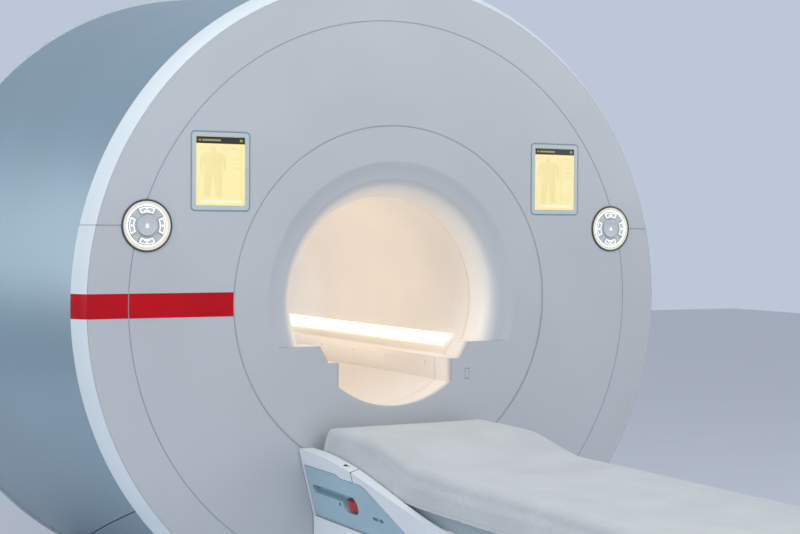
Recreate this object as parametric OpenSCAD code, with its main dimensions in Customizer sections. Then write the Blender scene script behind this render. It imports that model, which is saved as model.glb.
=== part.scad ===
// Magnetic resonance scanner: round gantry with a patient bore and a lowered patient table.
// Origin: on the floor under the bore axis, half way along the gantry. +Y runs into the bore, +X is to
// the right of someone who faces the gantry, +Z is up. Drops are measured down from the bore axis.

/* [Gantry] */
// Height of the bore axis above the floor
axis_height = 1070; // [1065:1:1072]
// Length of the gantry from front face to rear face
gantry_length = 1750; // [1700:10:1900]
// Radius of the flat front face
face_radius = 1058; // [1050:1:1062]
// Outer radius of the bevelled front rim
rim_radius = 1093; // [1085:1:1100]
// Depth of the bevelled front rim
rim_depth = 55; // [45:1:65]
// Radius of the side covers at their front end
body_front_radius = 1088; // [1080:1:1092]
// Radius of the side covers at their rear end
body_rear_radius = 1206; // [1160:1:1230]
// Wall thickness of the moulded covers
cover_wall = 12; // [8:1:14]
// Width of the seams between covers
seam_gap = 3; // [2:0.5:4]
// Height of the covers' lower edge above the floor
floor_gap = 14; // [12:1:25]

/* [Front covers] */
// Radius of the big circular seam
cover_seam_radius = 928; // [920:1:935]
// Radius of the seam round the funnel
ring_seam_radius = 583; // [570:1:590]
// Inner radius of the flat ring, where the funnel starts to curve in
funnel_flat_radius = 465; // [455:1:475]
// Height of the side seams above the bore axis
side_seam_height = 246; // [235:1:255]
// Depth of the stiffening lips behind the front covers
lip_depth = 45; // [35:1:50]
// Height of the red stripe
stripe_height = 76; // [60:1:90]
// Thickness of the red stripe
stripe_thickness = 0.6; // [0.4:0.1:1]

/* [Bore] */
// Radius of the patient bore
bore_radius = 350; // [340:1:355]
// Wall of the bore liner
liner_wall = 6; // [4:0.5:8]
// Drop from the bore axis to the top of the front plate
plate_drop = 143; // [138:1:148]
// Drop from the bore axis to the ledges that the tabletop runs on
ledge_drop = 199; // [194:1:204]
// Drop from the bore axis to the bottom of the rails
rail_drop = 281; // [278:1:284]
// Half width of the cut-out at the top of the front plate
notch_top_half = 281; // [279:1:284]
// Half width of the cut-out at ledge height
notch_ledge_half = 249; // [246:1:252]
// Half width between the rails
rail_half = 213; // [208:1:218]
// Drop from the bore axis to the middle of the light strips
strip_drop = 150; // [146:1:152]
// Height of the light strips
strip_height = 40; // [30:1:42]
// Distance from the front end of the liner to the light strips
strip_setback = 67; // [30:1:80]

/* [Magnet] */
// Outer radius of the magnet vessel
vessel_radius = 900; // [890:1:905]
// Inner radius of the magnet vessel
vessel_bore_radius = 455; // [450:1:460]
// Distance from the covers' front face to the magnet vessel
vessel_setback = 85; // [80:1:90]
// Inner radius of the gradient coil
gradient_bore_radius = 382; // [375:1:390]
// Half of the spacing of the anchor bolts across the gantry
anchor_half_x = 170; // [150:1:172]
// Half of the spacing of the anchor bolts along the gantry
anchor_half_y = 560; // [500:10:600]
// Radius of the anchor bolt holes
anchor_hole_radius = 11; // [9:0.5:14]
// Half width of the saddles that carry the magnet
saddle_half = 430; // [425:1:440]

/* [Displays and control panels] */
// Distance of the displays from the bore axis, sideways
display_x = 628.5; // [626:0.5:632]
// Height of the displays above the bore axis
display_z = 418; // [412:1:422]
// Width of a display
display_width = 199; // [190:1:202]
// Height of a display
display_height = 250; // [240:1:254]
// Width of the border round the glass
display_border = 17; // [14:1:22]
// Distance of the control panels from the bore axis, sideways
panel_x = 870; // [866:1:872]
// Radius of a control panel
panel_radius = 81; // [78:1:82]
// Radius of the central knob of a control panel
knob_radius = 32; // [28:1:33]
// Travel of the keys and the knob
key_travel = 1.5; // [1:0.1:1.9]

/* [Table] */
// Length of the table
table_length = 2446; // [2400:10:2500]
// Gap between the table and the gantry
dock_gap = 4; // [3:0.5:5]
// Length of the part of the table that stands on the floor
pedestal_length = 1546; // [1500:1:1600]
// Height of the shoulders of the table above the floor, lowered
shoulder_height = 600; // [596:1:602]
// Half width of the table at the shoulders
shoulder_half = 357; // [352:1:360]
// Length over which the shoulders sweep down to the deck
shoulder_sweep = 985; // [900:5:1100]
// Height of the top of the grey grip panels
grip_top = 550; // [548:1:552]
// Half width of the table at the top of the grip panels
grip_top_half = 345; // [342:1:348]
// Height of the bottom of the grip panels
grip_bottom = 380; // [376:1:384]
// Half width of the table at the bottom of the grip panels
grip_bottom_half = 303; // [300:1:306]
// Height of the lower edge of the table covers
skirt_bottom = 140; // [135:1:150]
// Half width of the table at its lower edge
skirt_half = 300; // [298:1:302]
// Wall of the table covers
table_wall = 10; // [8:1:11]
// Stroke of the table lift
lift_stroke = 372; // [360:1:374]
// Travel of the tabletop that is free at every height
slide_travel = 36; // [20:1:40]

/* [Tabletop and mattress] */
// Height of the underside of the tabletop, lowered
tabletop_bottom = 501; // [500:0.5:503]
// Depth of the tabletop's trough below its rim
tabletop_depth = 56; // [54:1:57]
// Half width of the tabletop's trough at the bottom
tabletop_half = 236; // [225:1:240]
// Half width of the tabletop's trough at the top
tabletop_top_half = 271; // [266:1:273]
// Half width of the tabletop's rim
tabletop_rim_half = 300; // [296:1:302]
// Thickness of the tabletop's rim
tabletop_rim = 12; // [10:1:14]
// Thickness of the mattress
mattress_thickness = 50; // [40:1:55]
// Extra height of the mattress at the gantry end
mattress_rise = 50; // [40:1:55]
// Length of the raised end of the mattress
raised_length = 308; // [280:1:330]
// Length of the slope behind the raised end
ramp_length = 340; // [300:1:380]

/* [Hidden] */

$fn = 96;
left = -1;
right = 1;
seat = 0.3;
far = 9000;

front_y = -gantry_length / 2;
rear_y = gantry_length / 2;
funnel_radius = funnel_flat_radius - bore_radius;
funnel_wall = 8;
liner_front_y = front_y + funnel_radius;
liner_rear_y = rear_y - funnel_radius;
lip_back_y = front_y + lip_depth;
vessel_front_y = front_y + vessel_setback;
vessel_rear_y = rear_y - vessel_setback;
body_front_y = front_y + rim_depth + seam_gap;
rear_trim_depth = 50;
shadow_gap = 12;
body_rear_y = rear_y - rear_trim_depth - shadow_gap;
rear_plate_inset = 55;
rear_plate_radius = body_rear_radius - rear_plate_inset;
skirt_seam_height = 450;
skirt_seam_slope = 0.265;

// Everything that turns round the bore axis: the profile holds radius and y
module around_axis() {
    translate([0, 0, axis_height]) rotate([-90, 0, 0]) rotate_extrude($fn = 180) children();
}

// Extrudes an outline of x and height above the bore axis, from y0 to y1
module along_bore(y0, y1) {
    translate([0, y1, axis_height]) rotate([90, 0, 0]) linear_extrude(y1 - y0) children();
}

// Extrudes an outline of x and height above the floor, from y0 to y1
module along_table(y0, y1) {
    translate([0, y1, 0]) rotate([90, 0, 0]) linear_extrude(y1 - y0) children();
}

// Extrudes a side outline of y and height above the floor, from x0 to x1
module across(x0, x1) {
    translate([x0, 0, 0]) rotate([90, 0, 90]) linear_extrude(x1 - x0) children();
}

module mirror_if(side) {
    if (side < 0) mirror([1, 0, 0]) children();
    else children();
}

module round_rect(width, height, radius) {
    square([width - 2 * radius, height], center = true);
    square([width, height - 2 * radius], center = true);
    for (sx = [-1, 1], sy = [-1, 1])
        translate([sx * (width / 2 - radius), sy * (height / 2 - radius)]) circle(radius, $fn = 48);
}

// Space below the covers' lower edge
module below_covers() {
    translate([-far, -far, -far]) cube([2 * far, 2 * far, far + cover_cut]);
}

module half_space(side) {
    translate([side > 0 ? seam_gap / 2 : -far - seam_gap / 2, -far, 0]) cube([far, 2 * far, far]);
}

// Section of a cover that is flat in front and has a lip behind each edge
module channel_section(inner, outer, face, back, wall) {
    inward = sign(back - face);
    polygon([
        [inner, face], [outer, face], [outer, back], [outer - wall, back],
        [outer - wall, face + inward * wall], [inner + wall, face + inward * wall],
        [inner + wall, back], [inner, back]
    ]);
}

/* Magnet and frames */

module anchor_positions() {
    for (sx = [-1, 1], sy = [-1, 1]) translate([sx * anchor_half_x, sy * anchor_half_y, 0]) children();
}

pad_height = 40;
pad_size = 116;
saddle_width = 130;
saddle_y = anchor_half_y;
beam_width = 80;
beam_height = 60;
web_thickness = 20;
beam_half = anchor_half_x + beam_width / 2;
beam_clearance = 20;
saddle_lip = 10;
saddle_clearance = 70;
wrench_radius = 24;
saddle_front_radius = cover_inner_radius(-saddle_y - saddle_width / 2);

// Height above the floor at which the covers are as wide inside as half, at the front saddle
function cover_height(half) = axis_height - sqrt(pow(saddle_front_radius, 2) - pow(half, 2));

cover_cut = max(floor_gap, cover_height(beam_half + beam_clearance));
leg_top = max(pad_height, cover_cut + beam_clearance);
saddle_top = axis_height - sqrt(pow(vessel_radius, 2) - pow(saddle_half, 2)) + saddle_lip;
saddle_bottom = min(saddle_top - saddle_lip - beam_height, cover_height(saddle_half) + saddle_clearance);

module floor_frame() {
    color("dimgray") {
        difference() {
            union() {
                for (s = [-1, 1])
                    along_table(s * saddle_y - saddle_width / 2, s * saddle_y + saddle_width / 2)
                        polygon([[-beam_half, pad_height], [beam_half, pad_height], [beam_half, leg_top],
                                 [saddle_half, saddle_bottom], [saddle_half, saddle_top],
                                 [-saddle_half, saddle_top], [-saddle_half, saddle_bottom],
                                 [-beam_half, leg_top]]);
                for (s = [-1, 1])
                    translate([s * anchor_half_x - beam_width / 2, -saddle_y, pad_height])
                        cube([beam_width, 2 * saddle_y, beam_height]);
                translate([-anchor_half_x, -saddle_y, pad_height])
                    cube([2 * anchor_half_x, 2 * saddle_y, web_thickness]);
            }
            around_axis() translate([0, -far]) square([vessel_radius, 2 * far]);
            anchor_positions() translate([0, 0, pad_height - 1])
                cylinder(r = wrench_radius, h = far, $fn = 48);
        }
        difference() {
            anchor_positions() translate([-pad_size / 2, -pad_size / 2, 0])
                cube([pad_size, pad_size, pad_height]);
            anchor_positions() translate([0, 0, -1])
                cylinder(r = anchor_hole_radius, h = pad_height + 2, $fn = 48);
        }
    }
}

vessel_bevel = 60;

module magnet_vessel() {
    color("gainsboro") around_axis() polygon([
        [vessel_bore_radius, vessel_front_y], [vessel_radius - vessel_bevel, vessel_front_y],
        [vessel_radius, vessel_front_y + vessel_bevel], [vessel_radius, vessel_rear_y - vessel_bevel],
        [vessel_radius - vessel_bevel, vessel_rear_y], [vessel_bore_radius, vessel_rear_y]
    ]);
}

gradient_inset = 60;
coil_inset = 140;

module gradient_coil() {
    color("goldenrod") around_axis() translate([gradient_bore_radius, vessel_front_y + gradient_inset])
        square([vessel_bore_radius - seat - gradient_bore_radius,
                vessel_rear_y - vessel_front_y - 2 * gradient_inset]);
}

module body_coil() {
    color("peru") around_axis()
        translate([bore_radius + liner_wall + seat, vessel_front_y + coil_inset])
            square([gradient_bore_radius - bore_radius - liner_wall - 2 * seat,
                    vessel_rear_y - vessel_front_y - 2 * coil_inset]);
}

module bore_liner() {
    color("antiquewhite") around_axis() translate([bore_radius, liner_front_y + seat])
        square([liner_wall, liner_rear_y - liner_front_y - 2 * seat]);
}

cold_head_y = 200;
cold_head_angle = 35;
cold_flange_radius = 105;
cold_flange_height = 25;
cold_neck_radius = 62;
cold_neck_height = 90;
cold_motor_radius = 80;
cold_motor_height = 60;

module cold_head() {
    color("silver") translate([0, cold_head_y, axis_height]) rotate([0, cold_head_angle, 0])
        difference() {
            union() {
                cylinder(r = cold_flange_radius, h = vessel_radius + cold_flange_height);
                translate([0, 0, vessel_radius + cold_flange_height])
                    cylinder(r = cold_neck_radius, h = cold_neck_height);
                translate([0, 0, vessel_radius + cold_flange_height + cold_neck_height])
                    cylinder(r = cold_motor_radius, h = cold_motor_height);
            }
            rotate([90, 0, 0]) cylinder(r = vessel_radius, h = vessel_radius, center = true, $fn = 180);
        }
}

hoop_outer = cover_seam_radius + 17;
hoop_step = 880;
hoop_inner = ring_seam_radius - 23;
hoop_inner_outer = ring_seam_radius + 23;
spokes = 8;
carrier_width = 20;
carrier_depth = 15;

// Inner radius of the side covers at a place along the gantry
function cover_inner_radius(y) =
    body_radius((y - body_front_y) / (body_rear_y - body_front_y)) - cover_wall;

// Steel spider that carries the covers of one end; end is -1 in front and 1 at the rear
module end_frame(end) {
    y_cover = end * (gantry_length / 2 - lip_depth - seat);
    y_magnet = end * (gantry_length / 2 - vessel_setback);
    y0 = min(y_cover, y_magnet);
    y1 = max(y_cover, y_magnet);
    carrier_front_y = end < 0 ? y_magnet - carrier_depth : y_magnet;
    carrier_radius = cover_inner_radius(carrier_front_y) - seat;
    difference() {
        union() {
            along_bore(carrier_front_y, carrier_front_y + carrier_depth) difference() {
                union() {
                    difference() {
                        circle(carrier_radius, $fn = 180);
                        circle(carrier_radius - carrier_width, $fn = 180);
                    }
                    for (i = [0:spokes - 1]) rotate(i * 360 / spokes + 22.5)
                        translate([hoop_step + 5, -25]) square([carrier_radius - hoop_step - 15, 50]);
                }
                circle(hoop_outer - 2, $fn = 180);
            }
            along_bore(y0, y1) difference() {
                circle(hoop_outer, $fn = 180);
                circle(hoop_step, $fn = 180);
            }
            along_bore(y0, y1) difference() {
                circle(hoop_inner_outer, $fn = 180);
                circle(hoop_inner, $fn = 180);
            }
            along_bore(y0, y1) difference() {
                for (i = [0:spokes - 1]) rotate(i * 360 / spokes + 22.5)
                    translate([hoop_inner_outer - 5, -25]) square([hoop_step - hoop_inner_outer + 10, 50]);
                circle(hoop_inner_outer - 2, $fn = 180);
            }
        }
        below_covers();
    }
}

module front_frame() {
    color("slategray") end_frame(-1);
}

module rear_frame() {
    color("slategray") end_frame(1);
}

/* Front covers */

module panel_holes() {
    for (s = [-1, 1]) translate([s * panel_x, 0, axis_height + side_seam_height])
        rotate([90, 0, 0]) cylinder(r = panel_radius + seat, h = far);
}

module outer_ring() {
    difference() {
        around_axis() channel_section(cover_seam_radius + seam_gap / 2, face_radius, front_y, lip_back_y,
                                      cover_wall);
        below_covers();
        panel_holes();
    }
}

module upper_ring_cover() {
    color("lightsteelblue") intersection() {
        outer_ring();
        translate([-far, -far, axis_height + side_seam_height + seam_gap / 2]) cube([2 * far, 2 * far, far]);
    }
}

module lower_ring_cover() {
    color("lightsteelblue") intersection() {
        outer_ring();
        translate([-far, -far, axis_height + side_seam_height - seam_gap / 2 - far])
            cube([2 * far, 2 * far, far]);
    }
}

module face_cover() {
    color("lightsteelblue") difference() {
        around_axis() channel_section(ring_seam_radius + seam_gap / 2, cover_seam_radius - seam_gap / 2,
                                      front_y, lip_back_y, cover_wall);
        panel_holes();
        for (s = [-1, 1]) along_bore(front_y - 1, front_y + cover_wall + 1)
            translate([s * display_x, display_z])
                round_rect(display_width + 2 * seat, display_height + 2 * seat, display_corner + seat);
    }
}

// Section of the funnel: flat ring, quarter round into the bore, lip behind the seam
module funnel_section() {
    face = front_y;
    outer = ring_seam_radius - seam_gap / 2;
    translate([funnel_flat_radius, face]) square([outer - funnel_flat_radius, funnel_wall]);
    translate([outer - cover_wall, face]) square([cover_wall, lip_depth]);
    translate([funnel_flat_radius, face + funnel_radius]) intersection() {
        difference() {
            circle(funnel_radius, $fn = 120);
            circle(funnel_radius - funnel_wall, $fn = 120);
        }
        translate([-funnel_radius, -funnel_radius]) square(funnel_radius);
    }
}

crease_depth = 4;
crease_run = 3;

// Flat that is cut off the start of the quarter round, which leaves a crease where the funnel begins
module crease_section() {
    turn = acos(1 - crease_depth / funnel_radius);
    end = [funnel_flat_radius - funnel_radius * sin(2 * turn), front_y + funnel_radius * (1 - cos(2 * turn))];
    polygon([
        end, [funnel_flat_radius + crease_run, front_y - crease_run * tan(turn)],
        [funnel_flat_radius + crease_run, front_y - crease_depth], [end[0], front_y - crease_depth]
    ]);
}

// Cut-out of the front plate that the tabletop and its rails fill
module notch() {
    polygon([
        [-notch_top_half, -plate_drop], [-notch_ledge_half, -ledge_drop], [-rail_half, -ledge_drop],
        [-rail_half, -bore_radius - 1], [rail_half, -bore_radius - 1], [rail_half, -ledge_drop],
        [notch_ledge_half, -ledge_drop], [notch_top_half, -plate_drop], [notch_top_half, far],
        [-notch_top_half, far]
    ]);
}

block_radius = vessel_bore_radius - 5;

module funnel_cover() {
    color("lightsteelblue") {
        difference() {
            around_axis() funnel_section();
            around_axis() crease_section();
            translate([-far, -far, -far]) cube([2 * far, 2 * far, far + axis_height - plate_drop]);
        }
        along_bore(front_y, front_y + funnel_wall) difference() {
            intersection() {
                circle(ring_seam_radius - seam_gap / 2, $fn = 180);
                translate([-far, -far - plate_drop]) square([2 * far, far]);
            }
            intersection() {
                notch();
                circle(bore_radius, $fn = 180);
            }
        }
        along_bore(front_y + funnel_wall, front_y + funnel_radius) difference() {
            intersection() {
                circle(block_radius, $fn = 180);
                translate([-far, -far - plate_drop]) square([2 * far, far]);
            }
            intersection() {
                notch();
                circle(bore_radius, $fn = 180);
            }
        }
        difference() {
            around_axis() translate([ring_seam_radius - seam_gap / 2 - cover_wall, front_y])
                square([cover_wall, lip_depth]);
            translate([-far, -far, axis_height - plate_drop]) cube([2 * far, 2 * far, far]);
        }
    }
}

rim_wall = 10;
rim_bulge = 3;
rim_inner = face_radius + 0.5;
rim_steps = 6;

function rim_point(t, inset) = [
    rim_inner + t * (rim_radius - rim_inner) + rim_bulge * sin(180 * t) - inset * 0.8,
    front_y + t * rim_depth - rim_bulge * sin(180 * t) * 0.6 + inset * 0.5
];

module rim_trim() {
    color("aliceblue") difference() {
        around_axis() polygon(concat(
            [for (i = [0:rim_steps]) rim_point(i / rim_steps, 0)],
            [[rim_radius - rim_wall, front_y + rim_depth], [rim_inner, front_y + rim_depth * 0.55]]
        ));
        below_covers();
        rim_seam_cut();
    }
}

rim_seam_depth = 2.5;

// Groove across the rim on both sides, in line with the seam of the outer ring cover
module rim_seam_cut() {
    intersection() {
        around_axis() polygon(concat(
            [for (i = [0:rim_steps]) rim_point(i / rim_steps, -rim_seam_depth)],
            [for (i = [rim_steps:-1:0]) rim_point(i / rim_steps, rim_seam_depth)]
        ));
        translate([-far, -far, axis_height + side_seam_height - seam_gap / 2])
            cube([2 * far, 2 * far, seam_gap]);
    }
}

module red_stripe() {
    color("crimson") {
        along_bore(front_y - stripe_thickness, front_y) difference() {
            translate([-face_radius, -stripe_height / 2]) square([face_radius, stripe_height]);
            circle(ring_seam_radius + seam_gap / 2, $fn = 180);
            difference() {
                circle(cover_seam_radius + seam_gap / 2, $fn = 180);
                circle(cover_seam_radius - seam_gap / 2, $fn = 180);
            }
        }
        intersection() {
            around_axis() polygon(concat(
                [for (i = [0:rim_steps]) rim_point(i / rim_steps, 0) - [0, stripe_thickness]],
                [for (i = [rim_steps:-1:0]) rim_point(i / rim_steps, 0)]
            ));
            translate([-far, -far, axis_height - stripe_height / 2]) cube([far, 2 * far, stripe_height]);
        }
    }
}

/* Side and rear covers */

body_steps = 6;

function body_radius(t) =
    body_front_radius + (body_rear_radius - body_front_radius) * (0.6 * t + 0.4 * t * t);
function body_point(t, inset) = [body_radius(t) - inset, body_front_y + t * (body_rear_y - body_front_y)];

module body_shell() {
    difference() {
        around_axis() polygon(concat(
            [for (i = [0:body_steps]) body_point(i / body_steps, 0)],
            [for (i = [body_steps:-1:0]) body_point(i / body_steps, cover_wall)]
        ));
        below_covers();
    }
}

// Space below the slanting seam of the side covers, moved down by gap
module below_skirt_seam(gap) {
    drop_front = skirt_seam_height - gap;
    drop_rear = drop_front - skirt_seam_slope * gantry_length;
    across(-far, far) polygon([
        [front_y - 10, -10], [rear_y + 10, -10], [rear_y + 10, drop_rear], [front_y - 10, drop_front]
    ]);
}

module side_cover(side) {
    intersection() {
        difference() {
            body_shell();
            below_skirt_seam(0);
        }
        half_space(side);
    }
}

module skirt(side) {
    intersection() {
        body_shell();
        below_skirt_seam(seam_gap);
        half_space(side);
    }
}

module left_side_cover() {
    color("lightslategray") side_cover(left);
}

module right_side_cover() {
    color("lightslategray") side_cover(right);
}

module left_skirt() {
    color("lightslategray") skirt(left);
}

module right_skirt() {
    color("lightslategray") skirt(right);
}

rear_lip_y = rear_y - lip_depth;

module rear_cover() {
    color("lightsteelblue") difference() {
        around_axis() {
            channel_section(ring_seam_radius + seam_gap / 2, rear_plate_radius, rear_y, rear_lip_y,
                            cover_wall);
            translate([hoop_outer - 20, rear_lip_y]) square([cover_wall, lip_depth - 1]);
        }
        below_covers();
    }
}

module rear_funnel() {
    color("lightsteelblue") mirror([0, 1, 0]) around_axis() funnel_section();
}

trim_proud = 8;
trim_lip = 30;
trim_lip_back = 14;

function trim_point(t) = [
    rear_plate_radius + 0.5 + (body_rear_radius + trim_proud - rear_plate_radius) * cos(90 * t),
    rear_y - rear_trim_depth + rear_trim_depth * sin(90 * t)
];

module rear_trim() {
    color("aliceblue") difference() {
        around_axis() polygon(concat(
            [for (i = [0:rim_steps]) trim_point(i / rim_steps)],
            [[rear_plate_radius + 0.5, rear_y - lip_depth],
             [body_rear_radius - trim_lip, rear_y - rear_trim_depth],
             [body_rear_radius - trim_lip, body_rear_y + seat],
             [body_rear_radius - trim_lip_back, body_rear_y + seat],
             [body_rear_radius - trim_lip_back, rear_y - rear_trim_depth]]
        ));
        below_covers();
    }
}

/* Inside the bore */

module rail(side) {
    mirror_if(side) difference() {
        along_bore(liner_front_y + seat, liner_rear_y - seat) intersection() {
            translate([rail_half, -rail_drop]) square([bore_radius - rail_half, rail_drop - ledge_drop]);
            circle(bore_radius - seat, $fn = 180);
        }
        for (i = [0:rail_pockets - 1])
            translate([rail_half - 1, liner_front_y + rail_pocket_start + i * rail_pocket_pitch,
                       axis_height - ledge_drop - rail_pocket_drop - rail_pocket_height])
                cube([rail_pocket_depth + 1, rail_pocket_length, rail_pocket_height]);
        translate([rail_half - 1, liner_front_y + rail_dot_start, axis_height - ledge_drop - rail_dot_drop])
            rotate([0, 90, 0]) cylinder(r = rail_dot_radius, h = rail_pocket_depth + 1, $fn = 32);
    }
}

rail_pockets = 5;
rail_pocket_start = 150;
rail_pocket_pitch = (liner_rear_y - liner_front_y - rail_pocket_start) / rail_pockets;
rail_pocket_gap = 60;
rail_pocket_length = rail_pocket_pitch - rail_pocket_gap;
rail_pocket_height = 30;
rail_pocket_drop = 18;
rail_pocket_depth = 4;
rail_dot_start = 70;
rail_dot_drop = 26;
rail_dot_radius = 4;

module left_rail() {
    color("wheat") rail(left);
}

module right_rail() {
    color("wheat") rail(right);
}

strip_depth = 8;

// Strip of light along the bore, its two ends cut on a slant
module light_strip(side) {
    strip_front_y = liner_front_y + strip_setback;
    strip_rear_y = liner_rear_y - strip_setback;
    strip_top = axis_height - strip_drop + strip_height / 2 + 1;
    strip_bottom = axis_height - strip_drop - strip_height / 2 - 1;
    mirror_if(side) intersection() {
        along_bore(strip_front_y, strip_rear_y) intersection() {
            difference() {
                circle(bore_radius - seat, $fn = 180);
                circle(bore_radius - seat - strip_depth, $fn = 180);
            }
            translate([0, -strip_drop - strip_height / 2]) square([bore_radius, strip_height]);
        }
        across(0, far) polygon([[strip_front_y - 1, strip_top], [strip_front_y + strip_height, strip_bottom],
                                [strip_rear_y - strip_height, strip_bottom], [strip_rear_y + 1, strip_top]]);
    }
}

module left_light_strip() {
    color("lightyellow") light_strip(left);
}

module right_light_strip() {
    color("lightyellow") light_strip(right);
}

/* Displays and control panels */

display_corner = 14;
display_depth = 34;
glass_thickness = 4;
glass_corner = 4;

module display_frame(side) {
    translate([side * display_x, 0, 0]) difference() {
        along_bore(front_y - 1, front_y + display_depth) translate([0, display_z])
            round_rect(display_width, display_height, display_corner);
        along_bore(front_y - 2, front_y + glass_thickness) translate([0, display_z])
            round_rect(display_width - 2 * display_border, display_height - 2 * display_border,
                       glass_corner);
    }
}

module display_glass(side) {
    translate([side * display_x, 0, 0])
        along_bore(front_y - 0.5, front_y + glass_thickness - seat) translate([0, display_z])
            round_rect(display_width - 2 * display_border - 2 * seat,
                       display_height - 2 * display_border - 2 * seat, glass_corner - seat);
}

module left_display_frame() {
    color("lightblue") display_frame(left);
}

module left_display_glass() {
    color("khaki") display_glass(left);
}

module right_display_frame() {
    color("lightblue") display_frame(right);
}

module right_display_glass() {
    color("khaki") display_glass(right);
}

panel_proud = 3;
panel_back_y = lip_back_y;
panel_face_y = front_y - 1;
panel_edge = 3;
light_width = 17;
light_outer = panel_radius - panel_edge;
light_inner = light_outer - light_width;
light_depth = 8;
key_inner = knob_radius + 7;
key_outer = light_inner - 3;
key_half_angle = 31;
key_gap = 0.5;
key_depth = 12;
key_front_y = front_y - panel_proud;
knob_front_y = front_y - panel_proud - 2;

module panel_at(side) {
    translate([side * panel_x, 0, side_seam_height]) children();
}

// Outline of a key: a sector of a ring that points along +X before it is turned
module key_outline(grow) {
    intersection() {
        difference() {
            circle(key_outer + grow);
            circle(key_inner - grow);
        }
        polygon([
            [0, 0], [far * cos(key_half_angle), far * sin(key_half_angle)],
            [far, 0], [far * cos(key_half_angle), -far * sin(key_half_angle)]
        ]);
    }
}

module panel_housing(side) {
    panel_at(side) {
        difference() {
            along_bore(front_y - panel_proud, panel_back_y) circle(panel_radius);
            along_bore(front_y - panel_proud - 1, front_y - panel_proud + light_depth) difference() {
                circle(light_outer);
                circle(light_inner);
            }
            along_bore(front_y - panel_proud - 1, panel_face_y) circle(light_inner);
            for (a = [0:90:270]) along_bore(panel_face_y - 1, key_front_y + key_depth + 2 * key_travel)
                rotate(a) offset_key();
            along_bore(panel_face_y - 1, key_front_y + key_depth + 2 * key_travel)
                circle(knob_radius + key_gap);
        }
    }
}

// The key's slot: the same sector, wider by the key's gap all round
module offset_key() {
    intersection() {
        difference() {
            circle(key_outer + key_gap);
            circle(key_inner - key_gap);
        }
        slot_angle = key_half_angle + 0.8;
        polygon([
            [0, 0], [far * cos(slot_angle), far * sin(slot_angle)],
            [far, 0], [far * cos(slot_angle), -far * sin(slot_angle)]
        ]);
    }
}

module panel_light(side) {
    panel_at(side) along_bore(front_y - panel_proud + 0.5, front_y - panel_proud + light_depth - seat)
        difference() {
            circle(light_outer - seat);
            circle(light_inner + seat);
        }
}

module panel_key(side, angle) {
    panel_at(side) along_bore(key_front_y, key_front_y + key_depth) rotate(angle) key_outline(0);
}

module panel_knob(side) {
    panel_at(side) along_bore(knob_front_y, key_front_y + key_depth) circle(knob_radius);
}

module left_panel_housing() {
    color("slategray") panel_housing(left);
}

module left_panel_light() {
    color("ivory") panel_light(left);
}

module left_panel_knob() {
    color("gray") panel_knob(left);
}

module left_panel_key_top() {
    color("gray") panel_key(left, 90);
}

module left_panel_key_outer() {
    color("gray") panel_key(left, 180);
}

module left_panel_key_bottom() {
    color("gray") panel_key(left, 270);
}

module left_panel_key_inner() {
    color("gray") panel_key(left, 0);
}

module right_panel_housing() {
    color("slategray") panel_housing(right);
}

module right_panel_light() {
    color("ivory") panel_light(right);
}

module right_panel_knob() {
    color("gray") panel_knob(right);
}

module right_panel_key_top() {
    color("gray") panel_key(right, 90);
}

module right_panel_key_outer() {
    color("gray") panel_key(right, 0);
}

module right_panel_key_bottom() {
    color("gray") panel_key(right, 270);
}

module right_panel_key_inner() {
    color("gray") panel_key(right, 180);
}

/* Table */

table_front_y = front_y - dock_gap;
table_back_y = table_front_y - table_length;
chassis_inset = 14;
pedestal_back_y = table_front_y - pedestal_length;
belly_y = pedestal_back_y - (table_length - pedestal_length) * 0.22;
deck_drop = 31;
deck_top = tabletop_bottom - deck_drop;
foot_depth = 30;
belly_depth = 85;
foot_bottom = deck_top - foot_depth;
belly_height = deck_top - belly_depth;

// Distance inwards along the slanted cover wall for a height
function wall_x(z) = z > grip_top
    ? grip_top_half + (shoulder_half - grip_top_half) * (z - grip_top) / (shoulder_height - grip_top)
    : z > grip_bottom
        ? grip_bottom_half + (grip_top_half - grip_bottom_half) * (z - grip_bottom) / (grip_top - grip_bottom)
        : skirt_half + (grip_bottom_half - skirt_half) * (z - skirt_bottom) / (grip_bottom - skirt_bottom);

shoulder_inner = tabletop_rim_half + 6;
shoulder_start = 20;
shoulder_ease = 1.08;
shoulder_lip = 4;
shoulder_lip_depth = 45;
sweep_steps = 28;
cap_seam = 358;
cap_slant = 30;
cap_groove = 3;
cap_depth = 6;
cap_above = 60;
cap_below = 14;
latch_y = table_front_y - 285;
latch_length = 24;
latch_width = 14;
latch_depth = 8;
latch_x = shoulder_inner + 20;
fairing_half = tabletop_rim_half - 8;
fairing_wall = 6;
fairing_start = 506;
fairing_clear = 4;
fairing_top = tabletop_bottom + tabletop_depth - 1.5;
ledge_thickness = 6;
ledge_overlap = 8;

// Height of the shoulder: level beside the gantry, easing down to the deck
function sweep_height(y) =
    let (t = pow(min(1, max(0, (table_front_y - shoulder_start - y) / shoulder_sweep)), shoulder_ease))
    deck_top + (shoulder_height - deck_top) * (1 + cos(180 * t)) / 2;

function sweep_line(end, low) = [
    for (i = [0:sweep_steps])
        let (y = table_front_y - end * i / sweep_steps)
        [y, max(sweep_height(y) - low, deck_top + (low > 0 ? 0.5 : 0))]
];

function reversed(points) = [for (i = [len(points) - 1:-1:0]) points[i]];

// Section of the right cover wall, from the lower edge up to the shoulder
module wall_section() {
    polygon([
        [skirt_half - table_wall, skirt_bottom], [skirt_half, skirt_bottom],
        [grip_bottom_half, grip_bottom], [grip_top_half, grip_top], [shoulder_half, shoulder_height],
        [shoulder_half - table_wall, shoulder_height], [grip_top_half - table_wall, grip_top],
        [grip_bottom_half - table_wall, grip_bottom]
    ]);
}

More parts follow.
